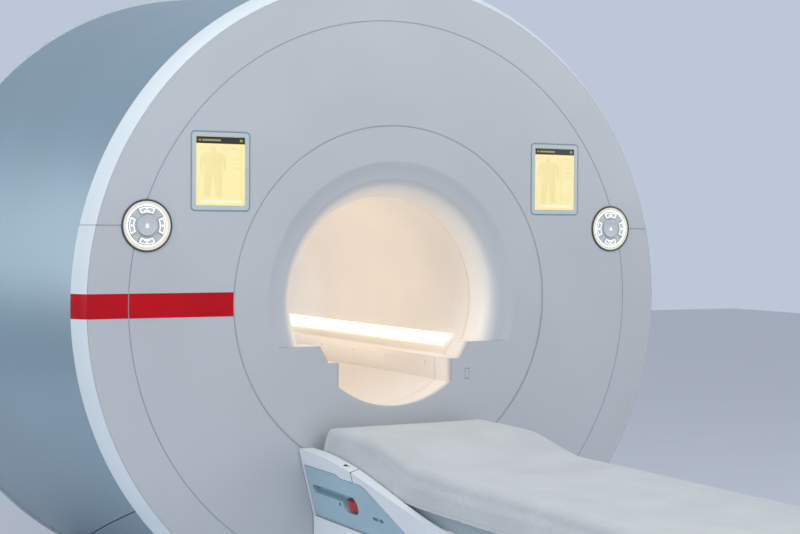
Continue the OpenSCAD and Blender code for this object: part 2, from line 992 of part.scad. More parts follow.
// Space inside the cover wall's outer face
module inside_section() {
    polygon([
        [shoulder_inner, grip_bottom], [grip_bottom_half, grip_bottom], [grip_top_half, grip_top],
        [shoulder_half, shoulder_height], [shoulder_inner, shoulder_height]
    ]);
}

// Inner fairing beside the tabletop, and the ledge that joins it to the cover wall
module fairing_section() {
    low = deck_top - ledge_overlap;
    polygon([
        [fairing_half - fairing_wall, deck_top + seat], [wall_x(deck_top) - table_wall - 2, deck_top + seat],
        [wall_x(low) - table_wall + 1, low], [wall_x(low), low], [wall_x(deck_top), deck_top],
        [wall_x(deck_top) - 1, deck_top + ledge_thickness], [fairing_half, deck_top + ledge_thickness],
        [fairing_half, fairing_top], [fairing_half - fairing_wall, fairing_top]
    ]);
}

// Side view of the table cover, with the shoulder that sweeps down towards the foot end
module cover_outline() {
    polygon(concat(
        [[table_front_y, skirt_bottom]], sweep_line(shoulder_start + shoulder_sweep, 0),
        [[table_back_y, deck_top], [table_back_y, foot_bottom], [belly_y, belly_height],
         [pedestal_back_y, skirt_bottom]]
    ));
}

// Side view of a band under the swept edge, as thick as depth
module sweep_band(depth) {
    end = shoulder_start + 0.88 * shoulder_sweep;
    polygon(concat(sweep_line(end, 0), reversed(sweep_line(end, depth))));
}

grip_front = 14;
grip_level = 238;
grip_step_length = 44;
grip_step = 10;
grip_turn_start = 394;
grip_turn_radius = 120;
grip_turn = 25.7;

// Side view of the grip panel, smaller than its opening by gap and shorter below by lift
module grip_outline(gap, lift) {
    low = grip_bottom + gap + lift;
    turn_centre = grip_top - grip_step - grip_turn_radius;
    turn_y = table_front_y - grip_turn_start;
    radius = grip_turn_radius - gap;
    end_y = turn_y - radius * sin(grip_turn);
    end_z = turn_centre + radius * cos(grip_turn);
    polygon(concat(
        [[table_front_y - grip_front - gap, low], [table_front_y - grip_front - gap, grip_top - gap]],
        [for (t = [0:0.25:1]) [table_front_y - grip_level - t * grip_step_length,
                               grip_top - gap - grip_step * (1 - cos(180 * t)) / 2]],
        [for (i = [0:6]) [turn_y - radius * sin(grip_turn * i / 6),
                          turn_centre + radius * cos(grip_turn * i / 6)]],
        [[end_y - (end_z - low) / tan(grip_turn), low]]
    ));
}

module table_cover(side) {
    mirror_if(side) difference() {
        union() {
            intersection() {
                along_table(table_back_y, table_front_y) wall_section();
                across(0, far) cover_outline();
            }
            along_table(tabletop_back_y + slide_travel + fairing_clear, table_front_y - fairing_start)
                fairing_section();
            intersection() {
                along_table(table_back_y, table_front_y) inside_section();
                union() {
                    across(shoulder_inner, far) sweep_band(table_wall);
                    across(shoulder_inner, shoulder_inner + shoulder_lip) sweep_band(shoulder_lip_depth);
                }
            }
        }
        across(0, far) grip_outline(0, 0);
        cap_seam_cut();
        translate([latch_x, latch_y, sweep_height(latch_y) - latch_depth])
            linear_extrude(far) rotate(90) recess_outline(latch_length, latch_width);
    }
}

// Groove where the end cap of the shoulder begins: up the wall, then slanting over the top
module cap_seam_cut() {
    seam_y = table_front_y - cap_seam;
    on_wall() translate([-cap_above, seam_y - cap_groove / 2, -cap_depth])
        cube([cap_above + cap_below, cap_groove, far]);
    translate([0, 0, sweep_height(seam_y + cap_slant / 2) - cap_depth]) linear_extrude(far) polygon([
        [shoulder_inner - 1, seam_y + cap_slant - cap_groove / 2], [shoulder_half, seam_y - cap_groove / 2],
        [shoulder_half, seam_y + cap_groove / 2], [shoulder_inner - 1, seam_y + cap_slant + cap_groove / 2]
    ]);
}

module left_table_cover() {
    color("gainsboro") table_cover(left);
}

module right_table_cover() {
    color("gainsboro") table_cover(right);
}

grip_tilt = atan((grip_top_half - grip_bottom_half) / (grip_top - grip_bottom));
grip_gap = 1.5;
grip_shadow = 8;
flange_set_back = 5;
recess_depth = 26;
recess_wall = 4;
slot_length = 299;
slot_width = 27;
slot_down = 75;
slot_front = 46;
pocket_length = 105;
pocket_width = 54;
pocket_down = 92;
pocket_back = 357;
lock_down = 99;
lock_back = 231;
lock_radius = 3.5;
lock_depth = 5;
release_length = 84;
release_width = 33;
release_down = 93;
release_back = 307;
release_travel = 6;
release_proud = 2;
release_crown = 52;
stem_radius = 7;
stem_length = 12;

// Frame on the slanted wall: X runs down the wall, Y along the table, Z outwards
module on_wall() {
    translate([grip_top_half, 0, grip_top]) rotate([0, 90 + grip_tilt, 0]) children();
}

module recess_outline(length, width) {
    square([width, length - width], center = true);
    for (s = [-1, 1]) translate([0, s * (length - width) / 2]) circle(width / 2, $fn = 48);
}

// Finger slot that opens into the pocket of the release, wider by grow all round
module grip_recess(grow) {
    translate([slot_down, table_front_y - slot_front - slot_length / 2])
        recess_outline(slot_length + 2 * grow, slot_width + 2 * grow);
    translate([pocket_down, table_front_y - pocket_back + pocket_length / 2])
        recess_outline(pocket_length + 2 * grow, pocket_width + 2 * grow);
}

module release_place() {
    on_wall() translate([release_down, table_front_y - release_back, 0]) children();
}

module grip_panel(side) {
    mirror_if(side) difference() {
        union() {
            intersection() {
                along_table(table_back_y, table_front_y) wall_section();
                across(0, far) grip_outline(grip_gap, grip_shadow);
            }
            intersection() {
                along_table(table_back_y, table_front_y) intersection() {
                    wall_section();
                    translate([-flange_set_back, 0]) wall_section();
                }
                across(0, far) grip_outline(grip_gap, 0);
            }
            on_wall() translate([0, 0, -recess_depth - recess_wall])
                linear_extrude(recess_depth + recess_wall - table_wall / 2) grip_recess(recess_wall);
        }
        on_wall() translate([0, 0, -recess_depth]) linear_extrude(far) grip_recess(0);
        on_wall() translate([lock_down, table_front_y - lock_back, -lock_depth])
            cylinder(r = lock_radius, h = far, $fn = 32);
        release_place() translate([0, 0, -recess_depth - recess_wall - 1])
            cylinder(r = stem_radius + seat, h = recess_wall + 2);
    }
}

module left_grip_panel() {
    color("cadetblue") grip_panel(left);
}

module right_grip_panel() {
    color("cadetblue") grip_panel(right);
}

// The release bulges outwards along the table, like a section of a barrel
module release(side) {
    mirror_if(side) release_place() translate([0, 0, -recess_depth + release_travel + seat]) {
        body_height = recess_depth - release_travel + release_proud;
        intersection() {
            linear_extrude(body_height) recess_outline(release_length, release_width);
            translate([0, 0, body_height - release_crown]) rotate([0, 90, 0])
                cylinder(r = release_crown, h = release_length, center = true, $fn = 180);
        }
        translate([0, 0, -stem_length]) cylinder(r = stem_radius, h = stem_length + 1);
    }
}

module left_release() {
    color("crimson") release(left);
}

module right_release() {
    color("crimson") release(right);
}

base_height = 20;
column_outer_radius = 56;
column_middle_radius = 47;
column_rod_radius = 38;
column_floor = 10;
column_overlap = 112;
column_top = base_height + column_floor + lift_stroke / 2 + column_overlap;
column_wall_gap = 0.3;
column_ys = [table_front_y - pedestal_length * 0.272, table_front_y - pedestal_length * 0.763];
shroud_inset = 26;
shroud_half = skirt_half - 38;
shroud_front_y = table_front_y - shroud_inset;
shroud_back_y = pedestal_back_y + shroud_inset;
shroud_wall = 4;
lower_shroud_top = column_top + 2;
middle_gap = 10;
middle_bottom = 125;
middle_top = column_top + 20;
bracket_height = 10;
bracket_width = 60;
dock_half = 120;
dock_thickness = 10;

module table_base() {
    color("dimgray") {
        difference() {
            union() {
                translate([-shroud_half, shroud_back_y, 0])
                    cube([2 * shroud_half, shroud_front_y - shroud_back_y, base_height]);
                translate([-dock_half, shroud_front_y - 1, 0])
                    cube([2 * dock_half, front_dock_y - shroud_front_y + 1, dock_thickness]);
            }
            for (sx = [-1, 1], y = base_bolt_ys) translate([sx * base_bolt_half, y, -1])
                cylinder(r = anchor_hole_radius, h = base_height + 2, $fn = 48);
        }
        for (y = column_ys) translate([0, y, 0]) difference() {
            cylinder(r = column_outer_radius, h = column_top);
            translate([0, 0, base_height]) cylinder(r = column_middle_radius + column_wall_gap, h = far);
        }
    }
}

base_bolt_half = 200;
base_bolt_inset = 120;
base_bolt_ys = [table_front_y - base_bolt_inset, pedestal_back_y + base_bolt_inset];
front_dock_y = -saddle_y - saddle_width / 2 + 7;
shroud_corner = 30;

module shroud(half, y0, y1, z0, z1) {
    translate([0, (y0 + y1) / 2, z0]) linear_extrude(z1 - z0) difference() {
        round_rect(2 * half, y1 - y0, shroud_corner);
        round_rect(2 * half - 2 * shroud_wall, y1 - y0 - 2 * shroud_wall, shroud_corner - shroud_wall);
    }
}

module lower_shroud() {
    color("whitesmoke") shroud(shroud_half, shroud_back_y, shroud_front_y, base_height, lower_shroud_top);
}

middle_half = shroud_half + middle_gap + shroud_wall;

module middle_shroud() {
    color("whitesmoke") shroud(middle_half, shroud_back_y - middle_gap - shroud_wall,
                               shroud_front_y + middle_gap + shroud_wall, middle_bottom, middle_top);
}

module column_middles() {
    color("silver") for (y = column_ys) {
        translate([0, y, base_height + column_floor]) difference() {
            cylinder(r = column_middle_radius, h = middle_top - base_height - column_floor);
            translate([0, 0, -1]) cylinder(r = column_rod_radius + column_wall_gap, h = far);
        }
        translate([0, y, middle_top - bracket_height]) difference() {
            translate([-middle_half + shroud_wall + seat, -bracket_width / 2, 0])
                cube([2 * (middle_half - shroud_wall - seat), bracket_width, bracket_height]);
            translate([0, 0, -1]) cylinder(r = column_middle_radius - 1, h = far);
        }
    }
}

chassis_depth = 70;
chassis_bottom = deck_top - chassis_depth;
rod_bottom = base_height + 2 * column_floor;

module column_rods() {
    color("lightgray") for (y = column_ys)
        translate([0, y, rod_bottom]) cylinder(r = column_rod_radius, h = chassis_bottom - rod_bottom);
}

chassis_beam_x = 215;
chassis_beam_width = 60;
chassis_plate = 55;
chassis_beam_bottom = chassis_bottom + chassis_plate;
plate_length = 160;
runner_x = 200;
runner_width = 40;
tray_thickness = 8;
beam_inset = 74;
runner_inset = 44;
tray_step = 37;
tray_step_gap = 25;
chassis_front_y = table_front_y - chassis_inset;
chassis_back_y = table_back_y + chassis_inset;
beam_back_y = table_back_y + beam_inset;
runner_back_y = table_back_y + runner_inset;
tray_half = wall_x(deck_top - tray_thickness) - table_wall - 1;
tray_front_half = tray_half - tray_step;
tray_step_y = table_front_y - pocket_back - tray_step_gap;

module table_chassis() {
    color("slategray") {
        for (s = [-1, 1])
            translate([s * chassis_beam_x - chassis_beam_width / 2, beam_back_y, chassis_beam_bottom])
                cube([chassis_beam_width, chassis_front_y - beam_back_y,
                      deck_top - tray_thickness - chassis_beam_bottom]);
        translate([-tray_half, chassis_back_y, deck_top - tray_thickness])
            cube([2 * tray_half, tray_step_y - chassis_back_y, tray_thickness]);
        translate([-tray_front_half, tray_step_y - 1, deck_top - tray_thickness])
            cube([2 * tray_front_half, chassis_front_y - tray_step_y + 1, tray_thickness]);
        for (s = [-1, 1]) translate([s * runner_x - runner_width / 2, runner_back_y, deck_top])
            cube([runner_width, chassis_front_y - runner_back_y, tabletop_bottom - seat - deck_top]);
        for (y = column_ys)
            translate([-chassis_beam_x - chassis_beam_width / 2, y - plate_length / 2, chassis_bottom])
                cube([2 * chassis_beam_x + chassis_beam_width, plate_length, chassis_plate]);
    }
}

nose_top = tabletop_bottom - 2;
nose_gap = 0.5;
foot_wall = 8;

module nose_cover() {
    color("gainsboro") along_table(table_front_y - table_wall, table_front_y) polygon([
        [-skirt_half + table_wall + nose_gap, skirt_bottom],
        [skirt_half - table_wall - nose_gap, skirt_bottom],
        [grip_bottom_half - table_wall - nose_gap, grip_bottom],
        [wall_x(nose_top) - table_wall - nose_gap, nose_top],
        [-wall_x(nose_top) + table_wall + nose_gap, nose_top],
        [-grip_bottom_half + table_wall + nose_gap, grip_bottom]
    ]);
}

module foot_cover() {
    color("gainsboro")
        across(-skirt_half + table_wall + nose_gap, skirt_half - table_wall - nose_gap) polygon([
            [pedestal_back_y + foot_wall, skirt_bottom], [pedestal_back_y, skirt_bottom],
            [belly_y, belly_height], [table_back_y, foot_bottom], [table_back_y, deck_top],
            [table_back_y + foot_wall, deck_top], [table_back_y + foot_wall, foot_bottom + foot_wall],
            [belly_y + foot_wall, belly_height + foot_wall], [pedestal_back_y + foot_wall, skirt_bottom + 30]
        ]);
}

tabletop_front_y = table_front_y - slide_travel - chassis_inset;
tabletop_back_y = table_back_y + 22;
rim_bottom = tabletop_bottom + tabletop_depth;
rim_top = rim_bottom + tabletop_rim;

module tabletop() {
    color("lightslategray") along_table(tabletop_back_y, tabletop_front_y) polygon([
        [-tabletop_half, tabletop_bottom], [tabletop_half, tabletop_bottom],
        [tabletop_top_half, rim_bottom], [tabletop_rim_half, rim_bottom], [tabletop_rim_half, rim_top],
        [-tabletop_rim_half, rim_top], [-tabletop_rim_half, rim_bottom], [-tabletop_top_half, rim_bottom]
    ]);
}

mattress_half = tabletop_rim_half - 6;
mattress_front_y = tabletop_front_y + 6;
mattress_back_y = tabletop_back_y - 2;
mattress_bottom = rim_top + seat;
mattress_top = mattress_bottom + mattress_thickness;
mattress_corner = 14;
mattress_slant = 28;
raised_top = mattress_top + mattress_rise;

// Side view of the mattress, larger by grow, down to the height low
function bed_profile(grow, low) = [
    [mattress_front_y + grow, low], [mattress_front_y + grow, mattress_bottom],
    [mattress_front_y - mattress_slant + grow, raised_top - mattress_corner],
    [mattress_front_y - mattress_slant - mattress_corner, raised_top + grow],
    [mattress_front_y - raised_length, raised_top + grow],
    [mattress_front_y - raised_length - ramp_length, mattress_top + grow],
    [mattress_back_y + mattress_corner, mattress_top + grow],
    [mattress_back_y - grow, mattress_top - mattress_corner], [mattress_back_y - grow, low]
];

module mattress() {
    color("lightgray") across(-mattress_half, mattress_half) polygon(bed_profile(0, mattress_bottom));
}

sheet_thickness = 3;
sheet_half = tabletop_rim_half + seat;
sheet_hem = rim_bottom - 29;

// The sheet lies over the mattress and hangs past the rim of the tabletop
module sheet() {
    color("white") difference() {
        across(-sheet_half - sheet_thickness, sheet_half + sheet_thickness)
            polygon(bed_profile(seat + sheet_thickness, sheet_hem));
        across(-sheet_half, sheet_half) polygon(bed_profile(seat, sheet_hem - 1));
    }
}

floor_frame();
magnet_vessel();
gradient_coil();
body_coil();
bore_liner();
cold_head();
front_frame();
rear_frame();
upper_ring_cover();
lower_ring_cover();
face_cover();
funnel_cover();
rim_trim();
left_side_cover();
right_side_cover();
left_skirt();
right_skirt();
rear_cover();
rear_funnel();
rear_trim();
left_rail();
right_rail();
left_light_strip();
right_light_strip();
red_stripe();
left_display_frame();
left_display_glass();
right_display_frame();
right_display_glass();
left_panel_housing();
left_panel_light();
left_panel_knob();
left_panel_key_top();
left_panel_key_outer();
left_panel_key_bottom();
left_panel_key_inner();
right_panel_housing();
right_panel_light();
right_panel_knob();
right_panel_key_top();
right_panel_key_outer();
right_panel_key_bottom();
right_panel_key_inner();
table_base();
lower_shroud();
middle_shroud();
column_middles();
column_rods();
table_chassis();
left_table_cover();
right_table_cover();
nose_cover();
foot_cover();
left_grip_panel();
right_grip_panel();
left_release();
right_release();
tabletop();
mattress();
sheet();
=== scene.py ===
import math

import bmesh
import bpy
from mathutils import Matrix, Vector, noise


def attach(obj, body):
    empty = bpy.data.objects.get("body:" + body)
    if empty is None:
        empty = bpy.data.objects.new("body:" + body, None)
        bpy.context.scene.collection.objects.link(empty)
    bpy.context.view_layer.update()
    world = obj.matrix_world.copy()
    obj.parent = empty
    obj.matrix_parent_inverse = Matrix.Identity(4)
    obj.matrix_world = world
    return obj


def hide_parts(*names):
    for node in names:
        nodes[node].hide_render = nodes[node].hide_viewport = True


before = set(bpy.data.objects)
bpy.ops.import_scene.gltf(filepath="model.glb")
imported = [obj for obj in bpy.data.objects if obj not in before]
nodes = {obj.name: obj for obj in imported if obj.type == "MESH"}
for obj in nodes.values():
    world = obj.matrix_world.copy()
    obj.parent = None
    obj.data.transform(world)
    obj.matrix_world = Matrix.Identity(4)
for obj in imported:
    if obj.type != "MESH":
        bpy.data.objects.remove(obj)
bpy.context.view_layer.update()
print("frame loaded,", len(nodes), "nodes")

scene = bpy.context.scene
scene.view_settings.view_transform = "Standard"


# camera

cameraPlace = {
    "spot": (-2.471, -5.459, 1.313),
    "yaw": 28.45,  # degrees to the right of the bore axis
    "pitch": 1.42,  # degrees down
    "roll": 0.37,
    "lens": 70.4,
    "sensor": 36.0,
    "reach": 60,
}


def makeCamera(place):
    yaw = math.radians(place["yaw"])
    pitch = math.radians(place["pitch"])
    roll = math.radians(place["roll"])
    ahead = Vector((math.sin(yaw) * math.cos(pitch), math.cos(yaw) * math.cos(pitch),
                    -math.sin(pitch)))
    side = Vector((math.cos(yaw), -math.sin(yaw), 0))
    up = side.cross(ahead)
    rolledSide = side * math.cos(roll) + up * math.sin(roll)
    rolledUp = up * math.cos(roll) - side * math.sin(roll)
    data = bpy.data.cameras.new("camera")
    data.lens = place["lens"]
    data.sensor_width = place["sensor"]
    data.clip_end = place["reach"]
    cameraObject = bpy.data.objects.new("camera", data)
    turn = Matrix((rolledSide, rolledUp, -ahead)).transposed()
    cameraObject.matrix_world = Matrix.Translation(place["spot"]) @ turn.to_4x4()
    scene.collection.objects.link(cameraObject)
    scene.camera = cameraObject


makeCamera(cameraPlace)


# room and light

room = {
    "floorSize": 30.0,
    "floorColour": (0.86, 0.88, 0.93),
    "wallColour": (0.74, 0.78, 0.85),
    "skyColour": (0.955, 0.975, 1.0),
    "skyStrength": 0.52,
    "floorRoughness": 0.45,
    "speckleScale": 3.0,
    "speckleShade": 0.98,
}


def linear(colour):
    return tuple(c / 12.92 if c <= 0.04045 else ((c + 0.055) / 1.055) ** 2.4 for c in colour) + (1.0,)


def makeFloor():
    bm = bmesh.new()
    bmesh.ops.create_grid(bm, x_segments=2, y_segments=2, size=room["floorSize"] / 2)
    mesh = bpy.data.meshes.new("floor")
    bm.to_mesh(mesh)
    bm.free()
    floor = bpy.data.objects.new("floor", mesh)
    scene.collection.objects.link(floor)
    material = bpy.data.materials.new("floorVinyl")
    material.use_nodes = True
    tree = material.node_tree
    shader = tree.nodes["Principled BSDF"]
    place = tree.nodes.new("ShaderNodeTexCoord")
    speckle = tree.nodes.new("ShaderNodeTexNoise")
    speckle.inputs["Scale"].default_value = room["speckleScale"]
    ramp = tree.nodes.new("ShaderNodeValToRGB")
    ramp.color_ramp.elements[0].color = linear([c * room["speckleShade"] for c in room["floorColour"]])
    ramp.color_ramp.elements[1].color = linear(room["floorColour"])
    tree.links.new(place.outputs["Object"], speckle.inputs["Vector"])
    tree.links.new(speckle.outputs["Fac"], ramp.inputs["Fac"])
    tree.links.new(ramp.outputs["Color"], shader.inputs["Base Color"])
    shader.inputs["Roughness"].default_value = room["floorRoughness"]
    mesh.materials.append(material)


def mathNode(tree, operation, *values):  # each value is a number or a socket
    node = tree.nodes.new("ShaderNodeMath")
    node.operation = operation
    for socket, value in zip(node.inputs, values):
        if isinstance(value, (int, float)):
            socket.default_value = value
        else:
            tree.links.new(value, socket)
    return node.outputs["Value"]


def makeWorld():  # the wall's colour for what is seen or mirrored, the sky's light for everything else
    world = bpy.data.worlds.new("room")
    scene.world = world
    world.use_nodes = True
    tree = world.node_tree
    background = tree.nodes["Background"]
    background.inputs["Color"].default_value = linear(room["skyColour"])
    background.inputs["Strength"].default_value = room["skyStrength"]
    wall = tree.nodes.new("ShaderNodeBackground")
    wall.inputs["Color"].default_value = linear(room["wallColour"])
    rays = tree.nodes.new("ShaderNodeLightPath")
    shown = mathNode(tree, "MAXIMUM", rays.outputs["Is Camera Ray"], rays.outputs["Is Glossy Ray"])
    seen = mathNode(tree, "MAXIMUM", shown, rays.outputs["Is Transmission Ray"])
    mix = tree.nodes.new("ShaderNodeMixShader")
    tree.links.new(seen, mix.inputs["Fac"])
    tree.links.new(background.outputs["Background"], mix.inputs[1])
    tree.links.new(wall.outputs["Background"], mix.inputs[2])
    tree.links.new(mix.outputs["Shader"], tree.nodes["World Output"].inputs["Surface"])


def makeLamp(name, spot, target, size, energy, colour, reflected=True):
    data = bpy.data.lights.new(name, "AREA")
    data.shape = "RECTANGLE"
    data.size = size[0]
    data.size_y = size[1]
    data.energy = energy
    data.color = colour
    lamp = bpy.data.objects.new(name, data)
    lamp.location = spot
    lamp.rotation_mode = "QUATERNION"
    lamp.rotation_quaternion = (Vector(target) - Vector(spot)).to_track_quat("-Z", "Y")
    lamp.visible_camera = False
    lamp.visible_glossy = reflected
    scene.collection.objects.link(lamp)


makeFloor()
makeWorld()
for name, spot, target, size, energy, colour in (
        ("ceilingLamp", (-1.0, -2.8, 4.4), (0, -0.7, 0.9), (4.0, 3.0), 80, (0.98, 0.99, 1.0)),
        ("leftLamp", (-5.4, -1.9, 2.2), (-1, 0.0, 1.2), (0.9, 2.6), 46, (0.98, 0.99, 1.0)),
        ("sideLamp", (-3.3, 2.6, 2.0), (-1.1, -0.6, 1.4), (0.8, 2.0), 36, (0.98, 0.995, 1.0)),
        ("rightLamp", (4.5, -4.5, 2.8), (0.5, -1.0, 1.0), (2.5, 2.5), 56, (0.99, 0.995, 1.0)),
        ("frontLamp", (-1.2, -6.8, 2.4), (0, -0.9, 1.0), (3.0, 1.6), 44, (0.99, 0.995, 1.0))):
    makeLamp(name, spot, target, size, energy, colour)
for name, height, target, energy, colour in (
        ("boreLampTop", 1.40, 0.9, 0.32, (1.0, 0.965, 0.92)),
        ("boreLampLow", 0.80, 1.4, 1.15, (1.0, 0.965, 0.925))):
    makeLamp(name, (0.0, 0.1, height), (0.0, 0.1, target), (0.22, 1.1), energy, colour, False)
print("room, camera and lamps ready")


# finishes

def newFinish(name):
    material = bpy.data.materials.new(name)
    material.use_nodes = True
    return material, material.node_tree, material.node_tree.nodes["Principled BSDF"]


def objectCoords(tree, stretch=(1, 1, 1), centre=(0, 0, 0)):
    place = tree.nodes.new("ShaderNodeTexCoord")
    mapping = tree.nodes.new("ShaderNodeMapping")
    mapping.inputs["Scale"].default_value = stretch
    mapping.inputs["Location"].default_value = [-c * s for c, s in zip(centre, stretch)]
    tree.links.new(place.outputs["Object"], mapping.inputs["Vector"])
    return mapping.outputs["Vector"]


def cloud(tree, scale, detail=2.0, stretch=(1, 1, 1)):
    texture = tree.nodes.new("ShaderNodeTexNoise")
    texture.inputs["Scale"].default_value = scale
    texture.inputs["Detail"].default_value = detail
    tree.links.new(objectCoords(tree, stretch), texture.inputs["Vector"])
    return texture.outputs["Fac"]


def spread(tree, factor, low, high, edges=(0.3, 0.7)):
    remap = tree.nodes.new("ShaderNodeMapRange")
    remap.inputs["From Min"].default_value = edges[0]
    remap.inputs["From Max"].default_value = edges[1]
    remap.inputs["To Min"].default_value = low
    remap.inputs["To Max"].default_value = high
    tree.links.new(factor, remap.inputs["Value"])
    return remap.outputs["Result"]


def blendColour(tree, factor, first, second, edges=(0.35, 0.65)):
    ramp = tree.nodes.new("ShaderNodeValToRGB")
    ramp.color_ramp.elements[0].position = edges[0]
    ramp.color_ramp.elements[1].position = edges[1]
    ramp.color_ramp.elements[0].color = linear(first)
    ramp.color_ramp.elements[1].color = linear(second)
    tree.links.new(factor, ramp.inputs["Fac"])
    return ramp.outputs["Color"]


def mixColour(tree, factor, first, second):  # each colour is a socket or a plain colour
    mix = tree.nodes.new("ShaderNodeMix")
    mix.data_type = "RGBA"
    tree.links.new(factor, mix.inputs["Factor"])
    for socket, value in ((mix.inputs["A"], first), (mix.inputs["B"], second)):
        if isinstance(value, tuple):
            socket.default_value = linear(value)
        else:
            tree.links.new(value, socket)
    return mix.outputs["Result"]


def awayFrom(tree, stretch, centre=(0, 0, 0)):  # distance from a point, or from a line through it
    length = tree.nodes.new("ShaderNodeVectorMath")
    length.operation = "LENGTH"
    tree.links.new(objectCoords(tree, stretch, centre), length.inputs[0])
    return length.outputs["Value"]


def cells(tree, scale):
    texture = tree.nodes.new("ShaderNodeTexVoronoi")
    texture.inputs["Scale"].default_value = scale
    tree.links.new(objectCoords(tree), texture.inputs["Vector"])
    return texture.outputs["Distance"]


def lacquer(shader, weight, roughness):
    shader.inputs["Coat Weight"].default_value = weight
    shader.inputs["Coat Roughness"].default_value = roughness


def shade(colour, amount):
    return tuple(max(0.0, min(1.0, c * amount)) for c in colour)


def relief(tree, shader, height, strength, distance, edgeRadius=0.0):
    bump = tree.nodes.new("ShaderNodeBump")
    bump.inputs["Strength"].default_value = strength
    bump.inputs["Distance"].default_value = distance
    tree.links.new(height, bump.inputs["Height"])
    if edgeRadius > 0:
        edge = tree.nodes.new("ShaderNodeBevel")
        edge.samples = 4
        edge.inputs["Radius"].default_value = edgeRadius
        tree.links.new(edge.outputs["Normal"], bump.inputs["Normal"])
    tree.links.new(bump.outputs["Normal"], shader.inputs["Normal"])


def paint(name, colour, rough=(0.32, 0.42), drift=0.012, coat=0.15, edge=0.002):
    material, tree, shader = newFinish(name)
    tint = blendColour(tree, cloud(tree, 2.2, 3.0), shade(colour, 1 - drift), shade(colour, 1 + drift))
    tree.links.new(tint, shader.inputs["Base Color"])
    tree.links.new(spread(tree, cloud(tree, 7.0, 4.0), rough[0], rough[1]), shader.inputs["Roughness"])
    relief(tree, shader, cloud(tree, 380.0, 2.0), 0.05, 0.0005, edge)
    lacquer(shader, coat, 0.2)
    return material


def metalFlake(name, colour):  # painted cover with a fine metallic flake
    material, tree, shader = newFinish(name)
    tint = blendColour(tree, cloud(tree, 1.4, 3.0), shade(colour, 0.985), shade(colour, 1.015))
    tree.links.new(tint, shader.inputs["Base Color"])
    tree.links.new(spread(tree, cells(tree, 900), 0.34, 0.44, (0.0, 0.6)), shader.inputs["Roughness"])
    relief(tree, shader, cloud(tree, 300.0, 2.0), 0.04, 0.0005, 0.002)
    shader.inputs["Metallic"].default_value = 0.25
    lacquer(shader, 0.3, 0.15)
    return material


def brushed(name, colour):  # turned or drawn metal with fine lines
    material, tree, shader = newFinish(name)
    lines = cloud(tree, 40.0, 3.0, (1, 1, 60))
    tint = blendColour(tree, lines, shade(colour, 0.93), shade(colour, 1.05))
    tree.links.new(tint, shader.inputs["Base Color"])
    tree.links.new(spread(tree, lines, 0.24, 0.38), shader.inputs["Roughness"])
    relief(tree, shader, lines, 0.1, 0.0004, 0.001)
    shader.inputs["Metallic"].default_value = 0.95
    return material


def resin(name, colour):  # cast resin with the windings showing through
    material, tree, shader = newFinish(name)
    swirl = cloud(tree, 9.0, 5.0, (1, 4, 1))
    tint = blendColour(tree, swirl, shade(colour, 0.82), shade(colour, 1.1))
    tree.links.new(tint, shader.inputs["Base Color"])
    tree.links.new(spread(tree, swirl, 0.35, 0.55), shader.inputs["Roughness"])
    wave = tree.nodes.new("ShaderNodeTexWave")
    wave.bands_direction = "Y"
    wave.inputs["Scale"].default_value = 22
    wave.inputs["Distortion"].default_value = 0.6
    tree.links.new(objectCoords(tree), wave.inputs["Vector"])
    relief(tree, shader, wave.outputs["Fac"], 0.25, 0.002)
    return material


def lit(name, colour, glow, strength):  # milky part with a light behind it
    material, tree, shader = newFinish(name)
    tint = blendColour(tree, cloud(tree, 14.0, 3.0), shade(colour, 0.985), colour)
    tree.links.new(tint, shader.inputs["Base Color"])
    tree.links.new(spread(tree, cloud(tree, 60.0, 2.0), 0.3, 0.4), shader.inputs["Roughness"])
    shader.inputs["Emission Color"].default_value = linear(glow)
    shader.inputs["Emission Strength"].default_value = strength
    relief(tree, shader, cloud(tree, 250.0, 2.0), 0.05, 0.0004, 0.001)
    return material


boreLight = {
    "linerColour": (0.925, 0.90, 0.87),
    # painted glow: the liner and the funnel's mouth give off warm light, though neither is a lamp
    "linerPaintedGlow": (1.0, 0.92, 0.84),
    "linerPaintedGlowStrength": 0.07,
    "stripStrength": 1.0,
    "axisHeight": 1.070,
    # where the painted spill of warm light on the funnel's mouth fades in and how strongly it glows
    "spillEdge": 0.350,
    "spillEnd": 0.440,
    "spillFront": -0.872,  # the funnel's mouth curves inwards behind this
    "spillFull": -0.840,
    "spillStrength": 0.065,
}


def creamLiner():
    material, tree, shader = newFinish("creamLiner")
    colour = boreLight["linerColour"]
    tint = blendColour(tree, cloud(tree, 3.0, 3.0), shade(colour, 0.985), shade(colour, 1.01))
    tree.links.new(tint, shader.inputs["Base Color"])
    tree.links.new(spread(tree, cloud(tree, 12.0, 3.0), 0.32, 0.42), shader.inputs["Roughness"])
    # painted glow: the liner itself gives off a little warm light
    shader.inputs["Emission Color"].default_value = linear(boreLight["linerPaintedGlow"])
    shader.inputs["Emission Strength"].default_value = boreLight["linerPaintedGlowStrength"]
    relief(tree, shader, cloud(tree, 260.0, 2.0), 0.04, 0.0005)
    return material


